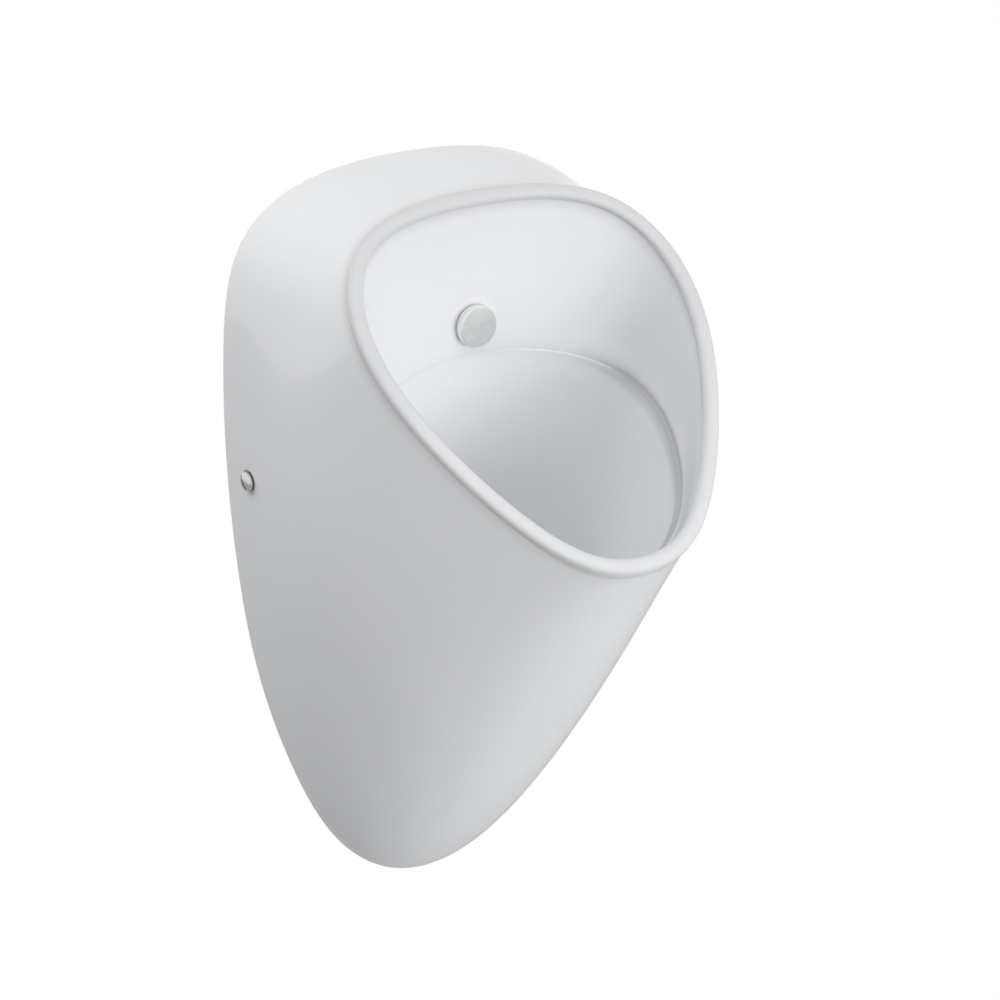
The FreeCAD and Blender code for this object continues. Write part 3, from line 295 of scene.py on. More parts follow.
def useEffect(nodes, name, vector, **values):
    # an effect's node group, placed with its own values
    node = nodes.new("ShaderNodeGroup")
    node.node_tree = bpy.data.node_groups[name]
    feed(vector, node.inputs["Vector"])
    for label, value in values.items():
        feed(value, node.inputs[label])
    return node.outputs[0]


def blendColour(nodes, factor, first, second):
    # first where the factor is 0, second where it is 1; each is a colour or a socket
    mix = nodes.new("ShaderNodeMix")
    mix.data_type = "RGBA"
    feed(factor, mix.inputs["Factor"])
    feed(first, mix.inputs["A"])
    feed(second, mix.inputs["B"])
    return mix.outputs["Result"]


def spread(nodes, value, low, high):
    # takes a value from 0 to 1 into a range
    return calculate(nodes, "MULTIPLY_ADD", value, high - low, low)


def bump(nodes, shader, height, distance):
    # a height, of up to a distance in millimetres, tilts the normal
    node = nodes.new("ShaderNodeBump")
    feed(distance * millimetre, node.inputs["Distance"])
    feed(height, node.inputs["Height"])
    feed(node.outputs["Normal"], shader.inputs["Normal"])


glaze = {
    "colour": (0.795, 0.803, 0.815, 1),
    "cooler": (0.78, 0.79, 0.806, 1),
    # the colour of the painted shade in the grooves, the ledge's corner and along the bead
    "shadeColour": (0.44, 0.445, 0.455, 1),
    "roughness": (0.05, 0.09),
    "driftScale": 9.0,
    "driftSoftness": 0.3,
    "rippleScale": 22.0,
    "rippleFineness": 12.0,
    "rippleFineShare": 0.04,
    "rippleDepth": 0.1,
}


def chinaGlaze():
    # white glaze: slow ripples, a faint drift of tone, and painted shade, a darker tint laid on the grooves beside
    # the bead, the corner above the ledge and along the bead's crest
    material, nodes, shader = newMaterial("chinaGlaze")
    vector = patternSpace(nodes)
    drift = useEffect(nodes, "smudges", vector, scale=glaze["driftScale"], softness=glaze["driftSoftness"])
    tone = blendColour(nodes, drift, glaze["colour"], glaze["cooler"])
    # the painted shade attribute darkens the tone towards the shade colour
    paintedShade = nodes.new("ShaderNodeAttribute")
    paintedShade.attribute_name = "paintedShade"
    feed(blendColour(nodes, paintedShade.outputs["Fac"], tone, glaze["shadeColour"]), shader.inputs["Base Color"])
    feed(spread(nodes, drift, *glaze["roughness"]), shader.inputs["Roughness"])
    ripple = useEffect(nodes, "surfaceGrain", vector, scale=glaze["rippleScale"],
                       fineness=glaze["rippleFineness"], fineShare=glaze["rippleFineShare"])
    bump(nodes, shader, ripple, glaze["rippleDepth"])
    return material


# colour, the colour of smudges, tarnish, bloom or stains, roughness range, dust, grain scale and depth
finishParts = ("colour", "cloud", "roughness", "dust", "scale", "depth")
finishes = {
    "satinChrome": ((0.92, 0.925, 0.925, 1), (0.86, 0.865, 0.865, 1), (0.34, 0.42), 0.0, 5200.0, 0.01),
    "polishedChrome": ((0.66, 0.665, 0.67, 1), (0.6, 0.605, 0.61, 1), (0.06, 0.14), 0.0, 2600.0, 0.004),
    "stainlessSteel": ((0.6, 0.6, 0.6, 1), (0.52, 0.52, 0.51, 1), (0.2, 0.34), 0.0, 4200.0, 0.02),
    "turnedBrass": ((0.62, 0.43, 0.17, 1), (0.4, 0.25, 0.11, 1), (0.24, 0.48), 0.25, 1800.0, 0.05),
    "zincPlate": ((0.56, 0.57, 0.58, 1), (0.44, 0.44, 0.44, 1), (0.34, 0.55), 0.35, 900.0, 0.02),
    "whitePlastic": ((0.74, 0.74, 0.72, 1), (0.68, 0.67, 0.63, 1), (0.34, 0.46), 0.45, 900.0, 0.05),
    "sleevePlastic": ((0.055, 0.057, 0.06, 1), (0.09, 0.09, 0.092, 1), (0.38, 0.52), 0.1, 1300.0, 0.04),
    "blackRubber": ((0.022, 0.022, 0.024, 1), (0.06, 0.06, 0.06, 1), (0.55, 0.75), 0.35, 1500.0, 0.06),
    "rawChina": ((0.74, 0.72, 0.68, 1), (0.6, 0.57, 0.52, 1), (0.55, 0.85), 0.6, 140.0, 0.5),
}
# scale and softness of the clouds, the dust's colour and added roughness, fineness and share of the fine grain
soilParts = ("cloudScale", "cloudSoftness", "dustColour", "dustRoughness", "fineness", "fineShare")
soils = {
    "metal": (110.0, 0.15, (0.42, 0.41, 0.4, 1), 0.4, 1.0, 0.0),
    "moulding": (70.0, 0.2, (0.46, 0.45, 0.43, 1), 0.3, 3.0, 0.3),
    "chalk": (26.0, 0.25, (0.5, 0.49, 0.47, 1), 0.0, 8.0, 0.45),
}


def finishOf(name, soiling):
    # the named values of a finish and of what soils it
    return dict(zip(finishParts + soilParts, finishes[name] + soils[soiling]))


def soil(nodes, shader, vector, finish):
    # a second colour clouds the first and dust lies on both; each changes the roughness too
    clouds = useEffect(nodes, "smudges", vector, scale=finish["cloudScale"], softness=finish["cloudSoftness"])
    dust = useEffect(nodes, "settledDust", vector, amount=finish["dust"])
    tone = blendColour(nodes, clouds, finish["colour"], finish["cloud"])
    feed(blendColour(nodes, dust, tone, finish["dustColour"]), shader.inputs["Base Color"])
    clean = spread(nodes, clouds, *finish["roughness"])
    dusty = calculate(nodes, "MULTIPLY_ADD", dust, finish["dustRoughness"], clean)
    feed(dusty, shader.inputs["Roughness"])
    return dust


def metal(name, centre, axis):
    # lathe rings, smudges or tarnish, and dust, which isn't metallic, on what lies in the open back
    finish = finishOf(name, "metal")
    material, nodes, shader = newMaterial(name + axis.upper())
    vector = patternSpace(nodes, centre, axis)
    dust = soil(nodes, shader, vector, finish)
    feed(calculate(nodes, "SUBTRACT", 1.0, dust), shader.inputs["Metallic"])
    rings = useEffect(nodes, "turnedRings", vector, scale=finish["scale"])
    bump(nodes, shader, rings, finish["depth"])
    return material


def moulding(name, soiling="moulding"):
    # fine mould or casting grain, cloudy bloom, flow marks or stains, and dust where it can settle
    finish = finishOf(name, soiling)
    material, nodes, shader = newMaterial(name)
    vector = patternSpace(nodes)
    soil(nodes, shader, vector, finish)
    grain = useEffect(nodes, "surfaceGrain", vector, scale=finish["scale"], fineness=finish["fineness"],
                      fineShare=finish["fineShare"])
    bump(nodes, shader, grain, finish["depth"])
    return material


inletLine, wasteLine, screwLine = (0.0, 0.0, 107.0), (0.0, -120.0, 0.0), (0.0, -34.0, 0.0)
glazed, raw = chinaGlaze(), moulding("rawChina", "chalk")
plastic, sleevePlastic, rubber = moulding("whitePlastic"), moulding("sleevePlastic"), moulding("blackRubber")
capSatin = metal("satinChrome", inletLine, "y")
chromeInlet = metal("polishedChrome", inletLine, "y")
chromeWaste = metal("polishedChrome", wasteLine, "z")
chromeScrew = metal("polishedChrome", screwLine, "x")
steelWaste = metal("stainlessSteel", wasteLine, "z")
brassInlet = metal("turnedBrass", inletLine, "y")
zincFixing = metal("zincPlate", screwLine, "x")
print("materials made")


# The china's outline, rim, bowl and ledge follow the solid's sizes; the rest shapes what the solid leaves plain.
china = {
    "topRise": 218.0,
    "bottomDrop": 382.0,
    "wall": 11.0,
    "wallHalfWidths": (143.5, 166.5, 155.0, 124.5, 56.5),
    "wallDrops": (0.0, 111.0, 316.0, 461.0, 600.0),
    "bulges": (39.0, 124.0, 77.0),
    "flare": 0.31,
    "flankFill": ((7.0, -4.5, -3.0), (17.0, -11.0, -9.5)),
    "rimTop": (0.0, -90.5, 208.0),
    "rimTilt": 44.5,
    "rimLength": 304.0,
    "rimHalfWidths": (77.5, 139.5, 149.2, 71.5, 26.5),
    "rimFalls": (0.0, 38.5, 142.5, 283.0, 304.0),
    "beadWidth": 11.6,
    "beadRise": 4.6,
    "beadSquareness": 2.4,
    "beadProud": 0.8,
    "ledgeHalfWidth": 117.5,
    "ledgeBack": (0.0, -88.0, 84.0),
    "ledgeFront": (0.0, -254.0, -38.0),
    "ledgeMiddleShare": 0.35,
    "ledgeWidth": 11.0,
    "ledgeFrontWidth": 4.0,
    "ledgeStart": 0.64,
    "ledgeSlope": 26.0,
    "ledgeLimits": (1.2, 11.0),
    "sideShare": 0.35,
    "sideDive": 11.0,
    "bowlLean": 0.12,
    "bowlPlunge": 44.0,
    "floorSpread": 0.46,
    "drain": (0.0, -120.0, -130.0),
    "wellRadius": 34.0,
    "seatReach": 88.0,
    "seatFade": (16.8, 30.0),
    "seatDepths": (-130.0, -60.0),
    "arris": 2.2,
    "groove": 1.2,
    "toeGroove": 6.0,
    "toeGrooveSpan": (0.66, 0.92),
    "grooveTurn": 0.8,
    "innerGroove": 0.5,
    "ledgeCorner": 1.6,
    "ledgeCornerShare": 0.3,
    "ledgeRoll": 3.2,
    "ledgeRollShare": 0.5,
    "rollGap": 0.8,
    "shelfShare": 0.55,
    "joinShare": 0.42,
    "backShares": (0.3, 0.6, 0.85, 0.97, 1.0),
    "floorShares": (0.9, 0.6, 0.3),
    "columns": 320,
    "sheetRows": 1200,
    "cornerRows": 60,
    "shellRows": 72,
    "beadRows": 34,
    "sideRows": 52,
    "ledgeRows": 6,
    "bowlRows": 56,
    "joinRows": 5,
    "rollRows": 7,
}

inlet, drain, screwBase = np.array(inletLine), np.array(china["drain"]), np.array(screwLine)
tilt = math.radians(china["rimTilt"])
downSlope = np.array([0.0, -math.sin(tilt), -math.cos(tilt)])
outOfMouth = np.array([0.0, -math.cos(tilt), math.sin(tilt)])
# control points of half a unit circle and the stations of a loop's seven control points, from its top to its toe
roundLoopShares = np.array([(0, 1), (0.262, 1), (0.787, 0.806), (1.109, 0), (0.787, -0.806), (0.262, -1), (0, -1)])
stations = np.array([0, 0, 0.25, 0.5, 0.75, 1, 1])
loopKnots = np.array([0, 0, 0, 0, 0.25, 0.5, 0.75, 1, 1, 1, 1])


def unit(vectors):
    # each row, divided by its length
    return vectors / np.linalg.norm(vectors, axis=1)[:, None]


def facing(directions, aims):
    # each direction, turned round where it points away from its aim
    return directions * np.where((aims * directions).sum(1) < 0, -1, 1)[:, None]


def alongRing(points):
    # the chord between each point's neighbours on a closed ring
    return np.roll(points, -1, axis=0) - np.roll(points, 1, axis=0)


def smoothStep(value, low, high):
    # 0 at low, 1 at high, and level at both
    share = np.clip((value - low) / (high - low), 0, 1)
    return share * share * (3 - 2 * share)


def cubicWeights(share):
    # how much each of a cubic curve's four control points counts
    return (1 - share) ** 3, 3 * share * (1 - share) ** 2, 3 * share * share * (1 - share), share ** 3


def loopWeights(place):
    # how much each of seven control points counts at a place from 0 to 1: a clamped cubic spline, degree by degree
    knots, spans = loopKnots, len(loopKnots) - 1
    nearlyOne = 1 - 1e-12
    place = np.clip(place, 0, nearlyOne)
    weights = [((knots[i] <= place) & (place < knots[i + 1])).astype(float) for i in range(spans)]
    for degree in (1, 2, 3):
        raised = []
        for i in range(spans - degree):
            left, right = knots[i + degree] - knots[i], knots[i + degree + 1] - knots[i + 1]
            rising = (place - knots[i]) / left * weights[i] if left > 0 else 0
            falling = (knots[i + degree + 1] - place) / right * weights[i + 1] if right > 0 else 0
            raised.append(rising + falling)
        weights = raised
    return np.stack(weights, -1)


def wallLoop():
    # the shell's outline on the wall: half widths at drops below the top
    top = china["topRise"]
    flank = [(half, 0.0, top - drop) for half, drop in zip(china["wallHalfWidths"], china["wallDrops"])]
    return np.array([(0.0, 0.0, top), *flank, (0.0, 0.0, -china["bottomDrop"])])


def rimLoop():
    # the bead's outer edge: half widths at distances down the slope of the rim
    top = np.array(china["rimTop"])
    flank = [top + (half, 0, 0) + downSlope * fall for half, fall in zip(china["rimHalfWidths"], china["rimFalls"])]
    return np.array([top, *flank, top + downSlope * china["rimLength"]])


def insetLoop(loop, normal, distance):
    # each control point moves inwards, square to the chord between its neighbours
    middle = (loop[0] + loop[-1]) / 2
    chord = np.concatenate([loop[1:], loop[-1:]]) - np.concatenate([loop[:1], loop[:-1]])
    inward = np.cross(normal, chord)
    inward[:2] = middle - loop[0]
    inward[-2:] = middle - loop[-1]
    moved = loop + facing(unit(inward), middle - loop) * distance
    moved[[0, -1], 0] = 0
    return moved


def eggLoop(middle, halfWidth, back, front):
    # a circle drawn out sideways, to the back and to the front
    across, along = roundLoopShares[:, 0], roundLoopShares[:, 1]
    reach = np.where(along[:, None] > 0, back, front)
    return middle + across[:, None] * np.array([halfWidth, 0, 0]) + np.abs(along)[:, None] * reach


def ledgeLoop(grow, sideWidth=0.0, frontWidth=0.0):
    # the inner edge of the ledge round the bowl
    back, front = np.array(china["ledgeBack"]), np.array(china["ledgeFront"])
    slope = (front - back) / np.linalg.norm(front - back)
    middle = back + (front - back) * china["ledgeMiddleShare"]
    halfWidth = china["ledgeHalfWidth"] + grow + sideWidth
    return eggLoop(middle, halfWidth, back - slope * grow - middle, front + slope * (grow + frontWidth) - middle)


def drainLoop(grow):
    # the round well over the drain
    radius = china["wellRadius"] + grow
    return eggLoop(drain - (0, 0, grow), radius, toWall * radius, -toWall * radius)


def shellLoops(wallEdge, rimEdge):
    # the shell leaves the wall squarely and reaches the rim with a slight flare, fuller low on the flank
    bulge = np.interp(stations, [0, 0.5, 1], china["bulges"])
    flared = rimEdge + (wallEdge - rimEdge) * china["flare"]
    flared[3:5] += china["flankFill"]
    return [wallEdge, wallEdge - toWall * bulge[:, None], flared, rimEdge]


def cavityLoops(grow, sideWidth, frontWidth):
    # from the rim the side runs square to the mouth, then lands on the ledge; below that it drops to the drain
    rim = insetLoop(rimLoop(), outOfMouth, china["beadWidth"] - china["beadProud"] - grow)
    edge, outer = ledgeLoop(grow), ledgeLoop(grow, sideWidth, frontWidth)
    floor = drainLoop(grow)
    upper = rim + (outer - rim) * china["sideShare"] - outOfMouth * china["sideDive"]
    steep = edge + (floor - edge) * china["bowlLean"] - (0, 0, china["bowlPlunge"])
    level = floor + (edge - floor) * china["floorSpread"]
    level[:, 2] = floor[:, 2]
    return [rim, upper, outer, edge], [edge, steep, level, floor]


def ringPlaces(columns):
    # places along the loop for a whole ring: down the right side, then back up the left
    phase = np.arange(columns) * 2.0 / columns
    return np.where(phase <= 1, phase, 2 - phase), np.where(phase <= 1, 1.0, -1.0)


def ring(loop, columns):
    # the closed ring that a half loop and its mirror image make
    places, side = ringPlaces(columns)
    points = loopWeights(places) @ loop
    points[:, 0] *= side
    return points


def discRings(middle, edge, shares):
    # rings between a middle point, at 0, and an edge ring, at 1
    return np.stack([middle + (edge - middle) * share for share in shares], 1)


def sheet(loops, columns):
    # a surface of cubic columns between four loops, column by column
    rings = np.stack([ring(loop, columns) for loop in loops])
    weights = np.stack(cubicWeights(np.linspace(0, 1, china["sheetRows"])), -1)
    return np.einsum("mk,kni->nmi", weights, rings)


def lengthsAlong(lines):
    # distance travelled along each column
    steps = np.linalg.norm(np.diff(lines, axis=1), axis=2)
    return np.concatenate([np.zeros((len(lines), 1)), np.cumsum(steps, axis=1)], axis=1)


def pointsAt(lines, distance):
    # points of each column at given distances from its start, read in one pass over all the columns
    lengths = lengthsAlong(lines)
    columns = len(lengths)
    stride = lengths.max() + 1.0
    offset = np.arange(columns)[:, None] * stride
    flatLengths = (lengths + offset).ravel()
    wanted = (np.clip(distance, 0, lengths[:, -1:]) + offset).ravel()
    index = np.interp(wanted, flatLengths, np.arange(flatLengths.size))
    low = np.minimum(index.astype(int), flatLengths.size - 2)
    part = (index - low)[:, None]
    flat = lines.reshape(-1, 3)
    return (flat[low] * (1 - part) + flat[low + 1] * part).reshape(columns, -1, 3)


def stretch(lines, start, end, rows):
    # rows spread evenly between a distance from each column's start and one from its end
    total = lengthsAlong(lines)[:, -1:]
    start, end = [np.reshape(value, (-1, 1)) for value in (start, end)]
    return pointsAt(lines, start + (total - end - start) * np.linspace(0, 1, rows))


def softJoin(first, second, rows):
    # a cubic curve from the end of one stretch to the start of the next that keeps both directions
    start, end = first[:, -1], second[:, 0]
    gap = np.linalg.norm(end - start, axis=1)[:, None] * china["joinShare"]
    leaving = unit(start - first[:, -2]) * gap
    arriving = unit(second[:, 1] - end) * gap
    weights = cubicWeights(np.linspace(0, 1, rows + 2)[1:-1][None, :, None])
    controls = (start, start + leaving, end - arriving, end)
    return sum(weight * control[:, None] for weight, control in zip(weights, controls))


def beadFrame(columns):
    # the bead's centre line and the direction from it into the mouth, in the plane of the rim
    centre = ring(insetLoop(rimLoop(), outOfMouth, china["beadWidth"] / 2), columns)
    inward = unit(np.cross(outOfMouth, alongRing(centre)))
    return centre, facing(inward, centre.mean(0) - centre)


def beadReach(points, centre, inward):
    # how far a point lies out from the bead's centre line, where the bead's own surface is at 1
    away = points - centre[:, None]
    across = np.abs(np.einsum("cri,ci->cr", away, inward)) / (china["beadWidth"] / 2)
    rise = np.abs(away @ outOfMouth) / china["beadRise"]
    power = china["beadSquareness"]
    return (across ** power + rise ** power) ** (1 / power)


def leavesBead(lines, centre, inward):
    # distance from a column's start at which it comes out of the bead
    reach = beadReach(lines, centre, inward)
    first = np.argmax(reach > 1, axis=1)
    rows = np.arange(len(lines))
    before, after = reach[rows, first - 1], reach[rows, first]
    lengths = lengthsAlong(lines)
    part = (1 - before) / (after - before)
    return lengths[rows, first - 1] * (1 - part) + lengths[rows, first] * part


def signedPower(value, power):
    # a power of the size of a value that keeps its sign
    return np.sign(value) * np.abs(value) ** power


def beadTurn(points, centre, inward):
    # the turn round the bead, from its outer side over its crown to its inner side, at which a point lies
    away = points - centre
    power = china["beadSquareness"] / 2
    across = -(away * inward).sum(1) / (china["beadWidth"] / 2)
    rise = away @ outOfMouth / china["beadRise"]
    return np.arctan2(signedPower(rise, power), signedPower(across, power))


def beadArc(centre, inward, start, end, rows):
    # a squared-off ellipse over the bead's centre line, between two turns
    turns = np.linspace(start, end, rows, axis=1)
    power = 2 / china["beadSquareness"]
    across = signedPower(np.cos(turns), power) * china["beadWidth"] / 2
    rise = signedPower(np.sin(turns), power) * china["beadRise"]
    return centre[:, None] - across[..., None] * inward[:, None] + rise[..., None] * outOfMouth


def flattenSeat(points):
    # the bowl's back wall eases into a flat seat for the spreader
    away = np.hypot(points[..., 0] - inlet[0], points[..., 2] - inlet[2])
    part = 1 - smoothStep(away, *china["seatFade"])
    deepest, nearest = china["seatDepths"]
    part = np.where((points[..., 1] < nearest) & (points[..., 1] > deepest), part, 0)
    points[..., 1] += (-china["seatReach"] - points[..., 1]) * part
    return points


def ledgeSheets(columns):
    # the bowl's side comes straight down to a sloping ledge, whose inner edge rolls over into the bowl
    upperLoops, bowlLoops = cavityLoops(0.0, china["ledgeWidth"], china["ledgeFrontWidth"])
    side, bowl = sheet(upperLoops, columns), sheet(bowlLoops, columns)
    cut = int(china["ledgeStart"] * (side.shape[1] - 1))
    last = side[:, cut]
    fall = unit(last - side[:, cut - 1])
    edge = side[:, -1]
    outer = facing(unit(np.cross(alongRing(edge), upwards)), edge - edge.mean(0))
    slope = math.radians(china["ledgeSlope"])
    outer = outer * math.cos(slope) + upwards * math.sin(slope)
    # the ledge is as wide as where the side's tangent and the ledge's slope pass closest to each other
    gap, meet = edge - last, (fall * outer).sum(1)
    width = ((gap * fall).sum(1) * meet - (gap * outer).sum(1)) / (1 - meet ** 2)
    width = np.clip(width, *china["ledgeLimits"])
    corner = edge + width[:, None] * outer
    share = np.linspace(0, 1, china["cornerRows"])[None, :, None]
    straight = last[:, None] * (1 - share) + corner[:, None] * share
    ledge = corner[:, None] * (1 - share) + edge[:, None] * share
    return np.concatenate([side[:, :cut], straight], axis=1), ledge, bowl, corner, width


def makeChina():
    # one closed surface: back face, arris, shell, bead, bowl's side, ledge, bowl and floor, softly joined
    columns, joinRows = china["columns"], china["joinRows"]
    wallEdge, shellRim = wallLoop(), insetLoop(rimLoop(), outOfMouth, china["beadProud"])
    shell = sheet(shellLoops(wallEdge, shellRim), columns)
    side, ledge, bowl, corner, width = ledgeSheets(columns)
    centre, inward = beadFrame(columns)

    arris = china["arris"]
    backEdge = ring(insetLoop(wallEdge, toWall, arris), columns)
    backMiddle = np.array([0.0, 0.0, (china["topRise"] - china["bottomDrop"]) / 2])
    back = discRings(backMiddle, backEdge, china["backShares"])

    # where the shell and the bowl's side meet the bead: the distance along each and the turn round the bead
    shellFromRim = shell[:, ::-1]
    shellMeets, sideMeets = leavesBead(shellFromRim, centre, inward), leavesBead(side, centre, inward)
    shellPoint, sidePoint = [pointsAt(lines, meets[:, None])[:, 0]
                             for lines, meets in ((shellFromRim, shellMeets), (side, sideMeets))]
    shellTurn, sideTurn = beadTurn(shellPoint, centre, inward), beadTurn(sidePoint, centre, inward)
    sideTurn = np.where(sideTurn < 0, sideTurn + 2 * np.pi, sideTurn)
    toe = smoothStep(ringPlaces(columns)[0], *china["toeGrooveSpan"])
    groove = china["groove"] + (china["toeGroove"] - china["groove"]) * toe

    radius = china["beadWidth"] / 2
    beadStart = shellTurn + groove / radius * china["grooveTurn"]
    beadEnd = sideTurn - china["innerGroove"] / radius
    outerShell = stretch(shell, arris, shellMeets + groove, china["shellRows"])
    bead = beadArc(centre, inward, beadStart, beadEnd, china["beadRows"])
    innerSide = stretch(side, sideMeets + china["innerGroove"], china["ledgeCorner"], china["sideRows"])
    roll = np.minimum(china["ledgeRoll"], width * china["ledgeRollShare"])
    ledgeStart = np.minimum(china["ledgeCorner"], width * china["ledgeCornerShare"])
    ledgeTop = stretch(ledge, ledgeStart, roll, china["ledgeRows"])
    bowlSide = stretch(bowl, roll + china["rollGap"], 0.0, china["bowlRows"])
    floor = discRings(drain, ring(drainLoop(0.0), columns), china["floorShares"])
    parts = [back, softJoin(back, outerShell, joinRows), outerShell, softJoin(outerShell, bead, joinRows), bead,
             softJoin(bead, innerSide, joinRows), innerSide, softJoin(innerSide, ledgeTop, joinRows), ledgeTop,
             softJoin(ledgeTop, bowlSide, china["rollRows"]), bowlSide, floor]
    grid = flattenSeat(np.concatenate(parts, axis=1)).transpose(1, 0, 2)
    body = closedForm("chinaBody", grid, backMiddle, drain, [glazed, raw])
    # the flat face against the wall is left without glaze: the first rings and the fan inside them
    unglazed = np.zeros(len(body.data.polygons), np.int32)
    unglazed[:(back.shape[1] - 1) * columns] = 1
    unglazed[(len(grid) - 1) * columns:len(grid) * columns] = 1
    body.data.polygons.foreach_set("material_index", unglazed)
    # the lines along which shade is painted: the grooves beside the bead, the ledge's corner and shelf, and the
    # bead's crest
    shelf = corner * (1 - china["shelfShare"]) + ring(ledgeLoop(0.0), columns) * china["shelfShare"]
    lines = {"outerGroove": shellPoint, "innerGroove": sidePoint, "corner": corner, "shelf": shelf, "crestShade": centre}
    return body, lines


# where shade is painted, line by line: its reach, its strength, its least share, and the places between which it
# grows
paintedShades = {
    "outerGroove": (1.3, 0.25, 0.0, (0.85, 0.6)),
    "innerGroove": (1.56, 0.8, 0.0, (0.22, 0.36)),
    "corner": (2.86, 1.0, 0.1, (0.2, 0.4)),
    "shelf": (4.94, 0.95, 0.1, (0.2, 0.4)),
}
# painted shade along the bead's crest, which painted light eases on the lower bead where the front light falls
crestShade = {
    "reach": 7.5,
    "gain": 1.6,
    "tone": 0.52,
    "paintedLight": 0.22,
    "paintedLightSpan": (0.4, 0.65),
}


def nearLine(points, line, reach, weight):
    # a bell curve of the distance from each point to the nearest point of a line, worked out in slices
    slices = 24
    values = []
    for part in np.array_split(points, slices):
        distance = np.linalg.norm(part[:, None] - line[None], axis=2)
        values.append(np.exp(-(distance.min(1) / reach) ** 2) * weight[distance.argmin(1)])
    return np.concatenate(values)


def vertexRows(mesh, values):
    # a vector of every vertex, read in one pass
    rows = np.empty(len(mesh.vertices) * 3, np.float32)
    mesh.vertices.foreach_get(values, rows)
    return rows.reshape(-1, 3)


def paintShadeAndLight(thing, lines):
    # painted shade: the colour is darkened in the grooves beside the bead, in the corner and shelf above the ledge
    # and along the bead's crest, where shade falls
    points, normals = vertexRows(thing.data, "co") / millimetre, vertexRows(thing.data, "normal")
    places = ringPlaces(china["columns"])[0]
    inside = ((points - lines["corner"].mean(0)) * normals).sum(1) < 0
    masks = []
    for name, (reach, strength, least, span) in paintedShades.items():
        weight = (least + (1 - least) * smoothStep(places, *span)) * strength
        mask = nearLine(points, lines[name], reach, weight)
        masks.append(mask * inside if name in ("corner", "shelf") else mask)
    # the crest's painted shade, less painted light on the lower bead
    crestShadeBand = np.minimum(nearLine(points, lines["crestShade"], crestShade["reach"], np.ones(len(places))) * crestShade["gain"], 1)
    paintedLight = nearLine(points, lines["crestShade"], crestShade["reach"], smoothStep(places, *crestShade["paintedLightSpan"]))
    masks.append(crestShadeBand * crestShade["tone"] - paintedLight * crestShade["paintedLight"])
    layer = thing.data.attributes.new("paintedShade", "FLOAT", "POINT")
    layer.data.foreach_set("value", np.maximum.reduce(masks).astype(np.float32))


hollow = {
    "columns": china["columns"] // 2,
    "flare": 1.5,
    "mouthSteps": (12.0, 1.5, 0.4),
    "rimBacking": 15.4,
    "lidShares": (0.85, 0.5),
    "above": (22.0, 8.0),
    "cornerGap": 4.0,
    "floorShares": (0.9, 0.5),
    "shellRows": 44,
    "sideRows": 30,
    "bowlRows": 34,
    "mouthJoinRows": 3,
    "joinRows": 5,
}
# rods that cut holes and flats or leave pads: radius, start and end along their axis, and segments
rods = {
    "inletPad": (24.0, china["seatReach"] - china["wall"], china["seatReach"] + 10.0, 96),
    "sidePad": (19.0, 143.5, 175.0, 96),
    "inletHole": (11.25, 60.0, 105.0, 96),
    "drainHole": (25.0, -30.0, 20.0, 96),
    "drainRecess": (32.8, -3.0, 12.0, 96),
    "sideHole": (7.1, 130.0, 180.0, 64),
    "sideFlat": (8.6, 158.2, 175.0, 64),
}


def carveRod(target, name, base, axis, material):
    # one of the rods is cut out
    radius, start, end, segments = rods[name]
    profile = [(0, start), (radius, start), (radius, end), (0, end)]
    carve(target, turnedForm(name, profile, base, axis, segments, [material]))


def makeHollow():
    # the open back: the shell's inside, less the bowl's outside and the pads for the fittings
    columns, wall = hollow["columns"], china["wall"]
    wallEdge = wallLoop()
    innerWall = insetLoop(wallEdge, toWall, wall)
    innerRim = insetLoop(rimLoop(), outOfMouth, wall) - outOfMouth * hollow["rimBacking"]
    inside = stretch(sheet(shellLoops(innerWall, innerRim), columns), hollow["flare"], 0.0, hollow["shellRows"])
    flared = ring(insetLoop(wallEdge, toWall, wall - hollow["flare"]), columns)
    mouth = np.stack([flared + toWall * step for step in hollow["mouthSteps"]], 1)
    top = ring(innerRim, columns)
    middle = top.mean(0)
    lid = discRings(middle, top, hollow["lidShares"])
    backMiddle = np.array([0.0, hollow["mouthSteps"][0], (china["topRise"] - china["bottomDrop"]) / 2])
    join = softJoin(mouth, inside, hollow["mouthJoinRows"])
    grid = np.concatenate([mouth, join, inside, lid], axis=1).transpose(1, 0, 2)
    openBack = closedForm("openBack", grid, backMiddle, middle, [raw])

    upperLoops, bowlLoops = cavityLoops(wall, 0.0, 0.0)
    rim = ring(upperLoops[0], columns)
    above = np.stack([rim + outOfMouth * step for step in hollow["above"]], 1)
    upper = stretch(sheet(upperLoops, columns), 0.0, hollow["cornerGap"], hollow["sideRows"])
    lower = stretch(sheet(bowlLoops, columns), hollow["cornerGap"], 0.0, hollow["bowlRows"])
    underDrain = drain - (0, 0, wall)
    floor = discRings(underDrain, ring(drainLoop(wall), columns), hollow["floorShares"])
    join = softJoin(upper, lower, hollow["joinRows"])
    grid = np.concatenate([above, upper, join, lower, floor], axis=1).transpose(1, 0, 2)
    carve(openBack, closedForm("bowlOutside", grid, above[:, 0].mean(0), underDrain, [raw]))
    carveRod(openBack, "inletPad", inlet, -toWall, raw)
    for side in sides.values():
        carveRod(openBack, "sidePad", screwBase, (side, 0, 0), raw)
    return openBack


def cutFittings(body):
    # the holes and flats for the inlet, the waste and the side screws
    carveRod(body, "inletHole", inlet, -toWall, raw)
    carveRod(body, "drainHole", drain, upwards, raw)
    carveRod(body, "drainRecess", drain, upwards, glazed)
    for side in sides.values():
        carveRod(body, "sideHole", screwBase, (side, 0, 0), raw)
        carveRod(body, "sideFlat", screwBase, (side, 0, 0), glazed)


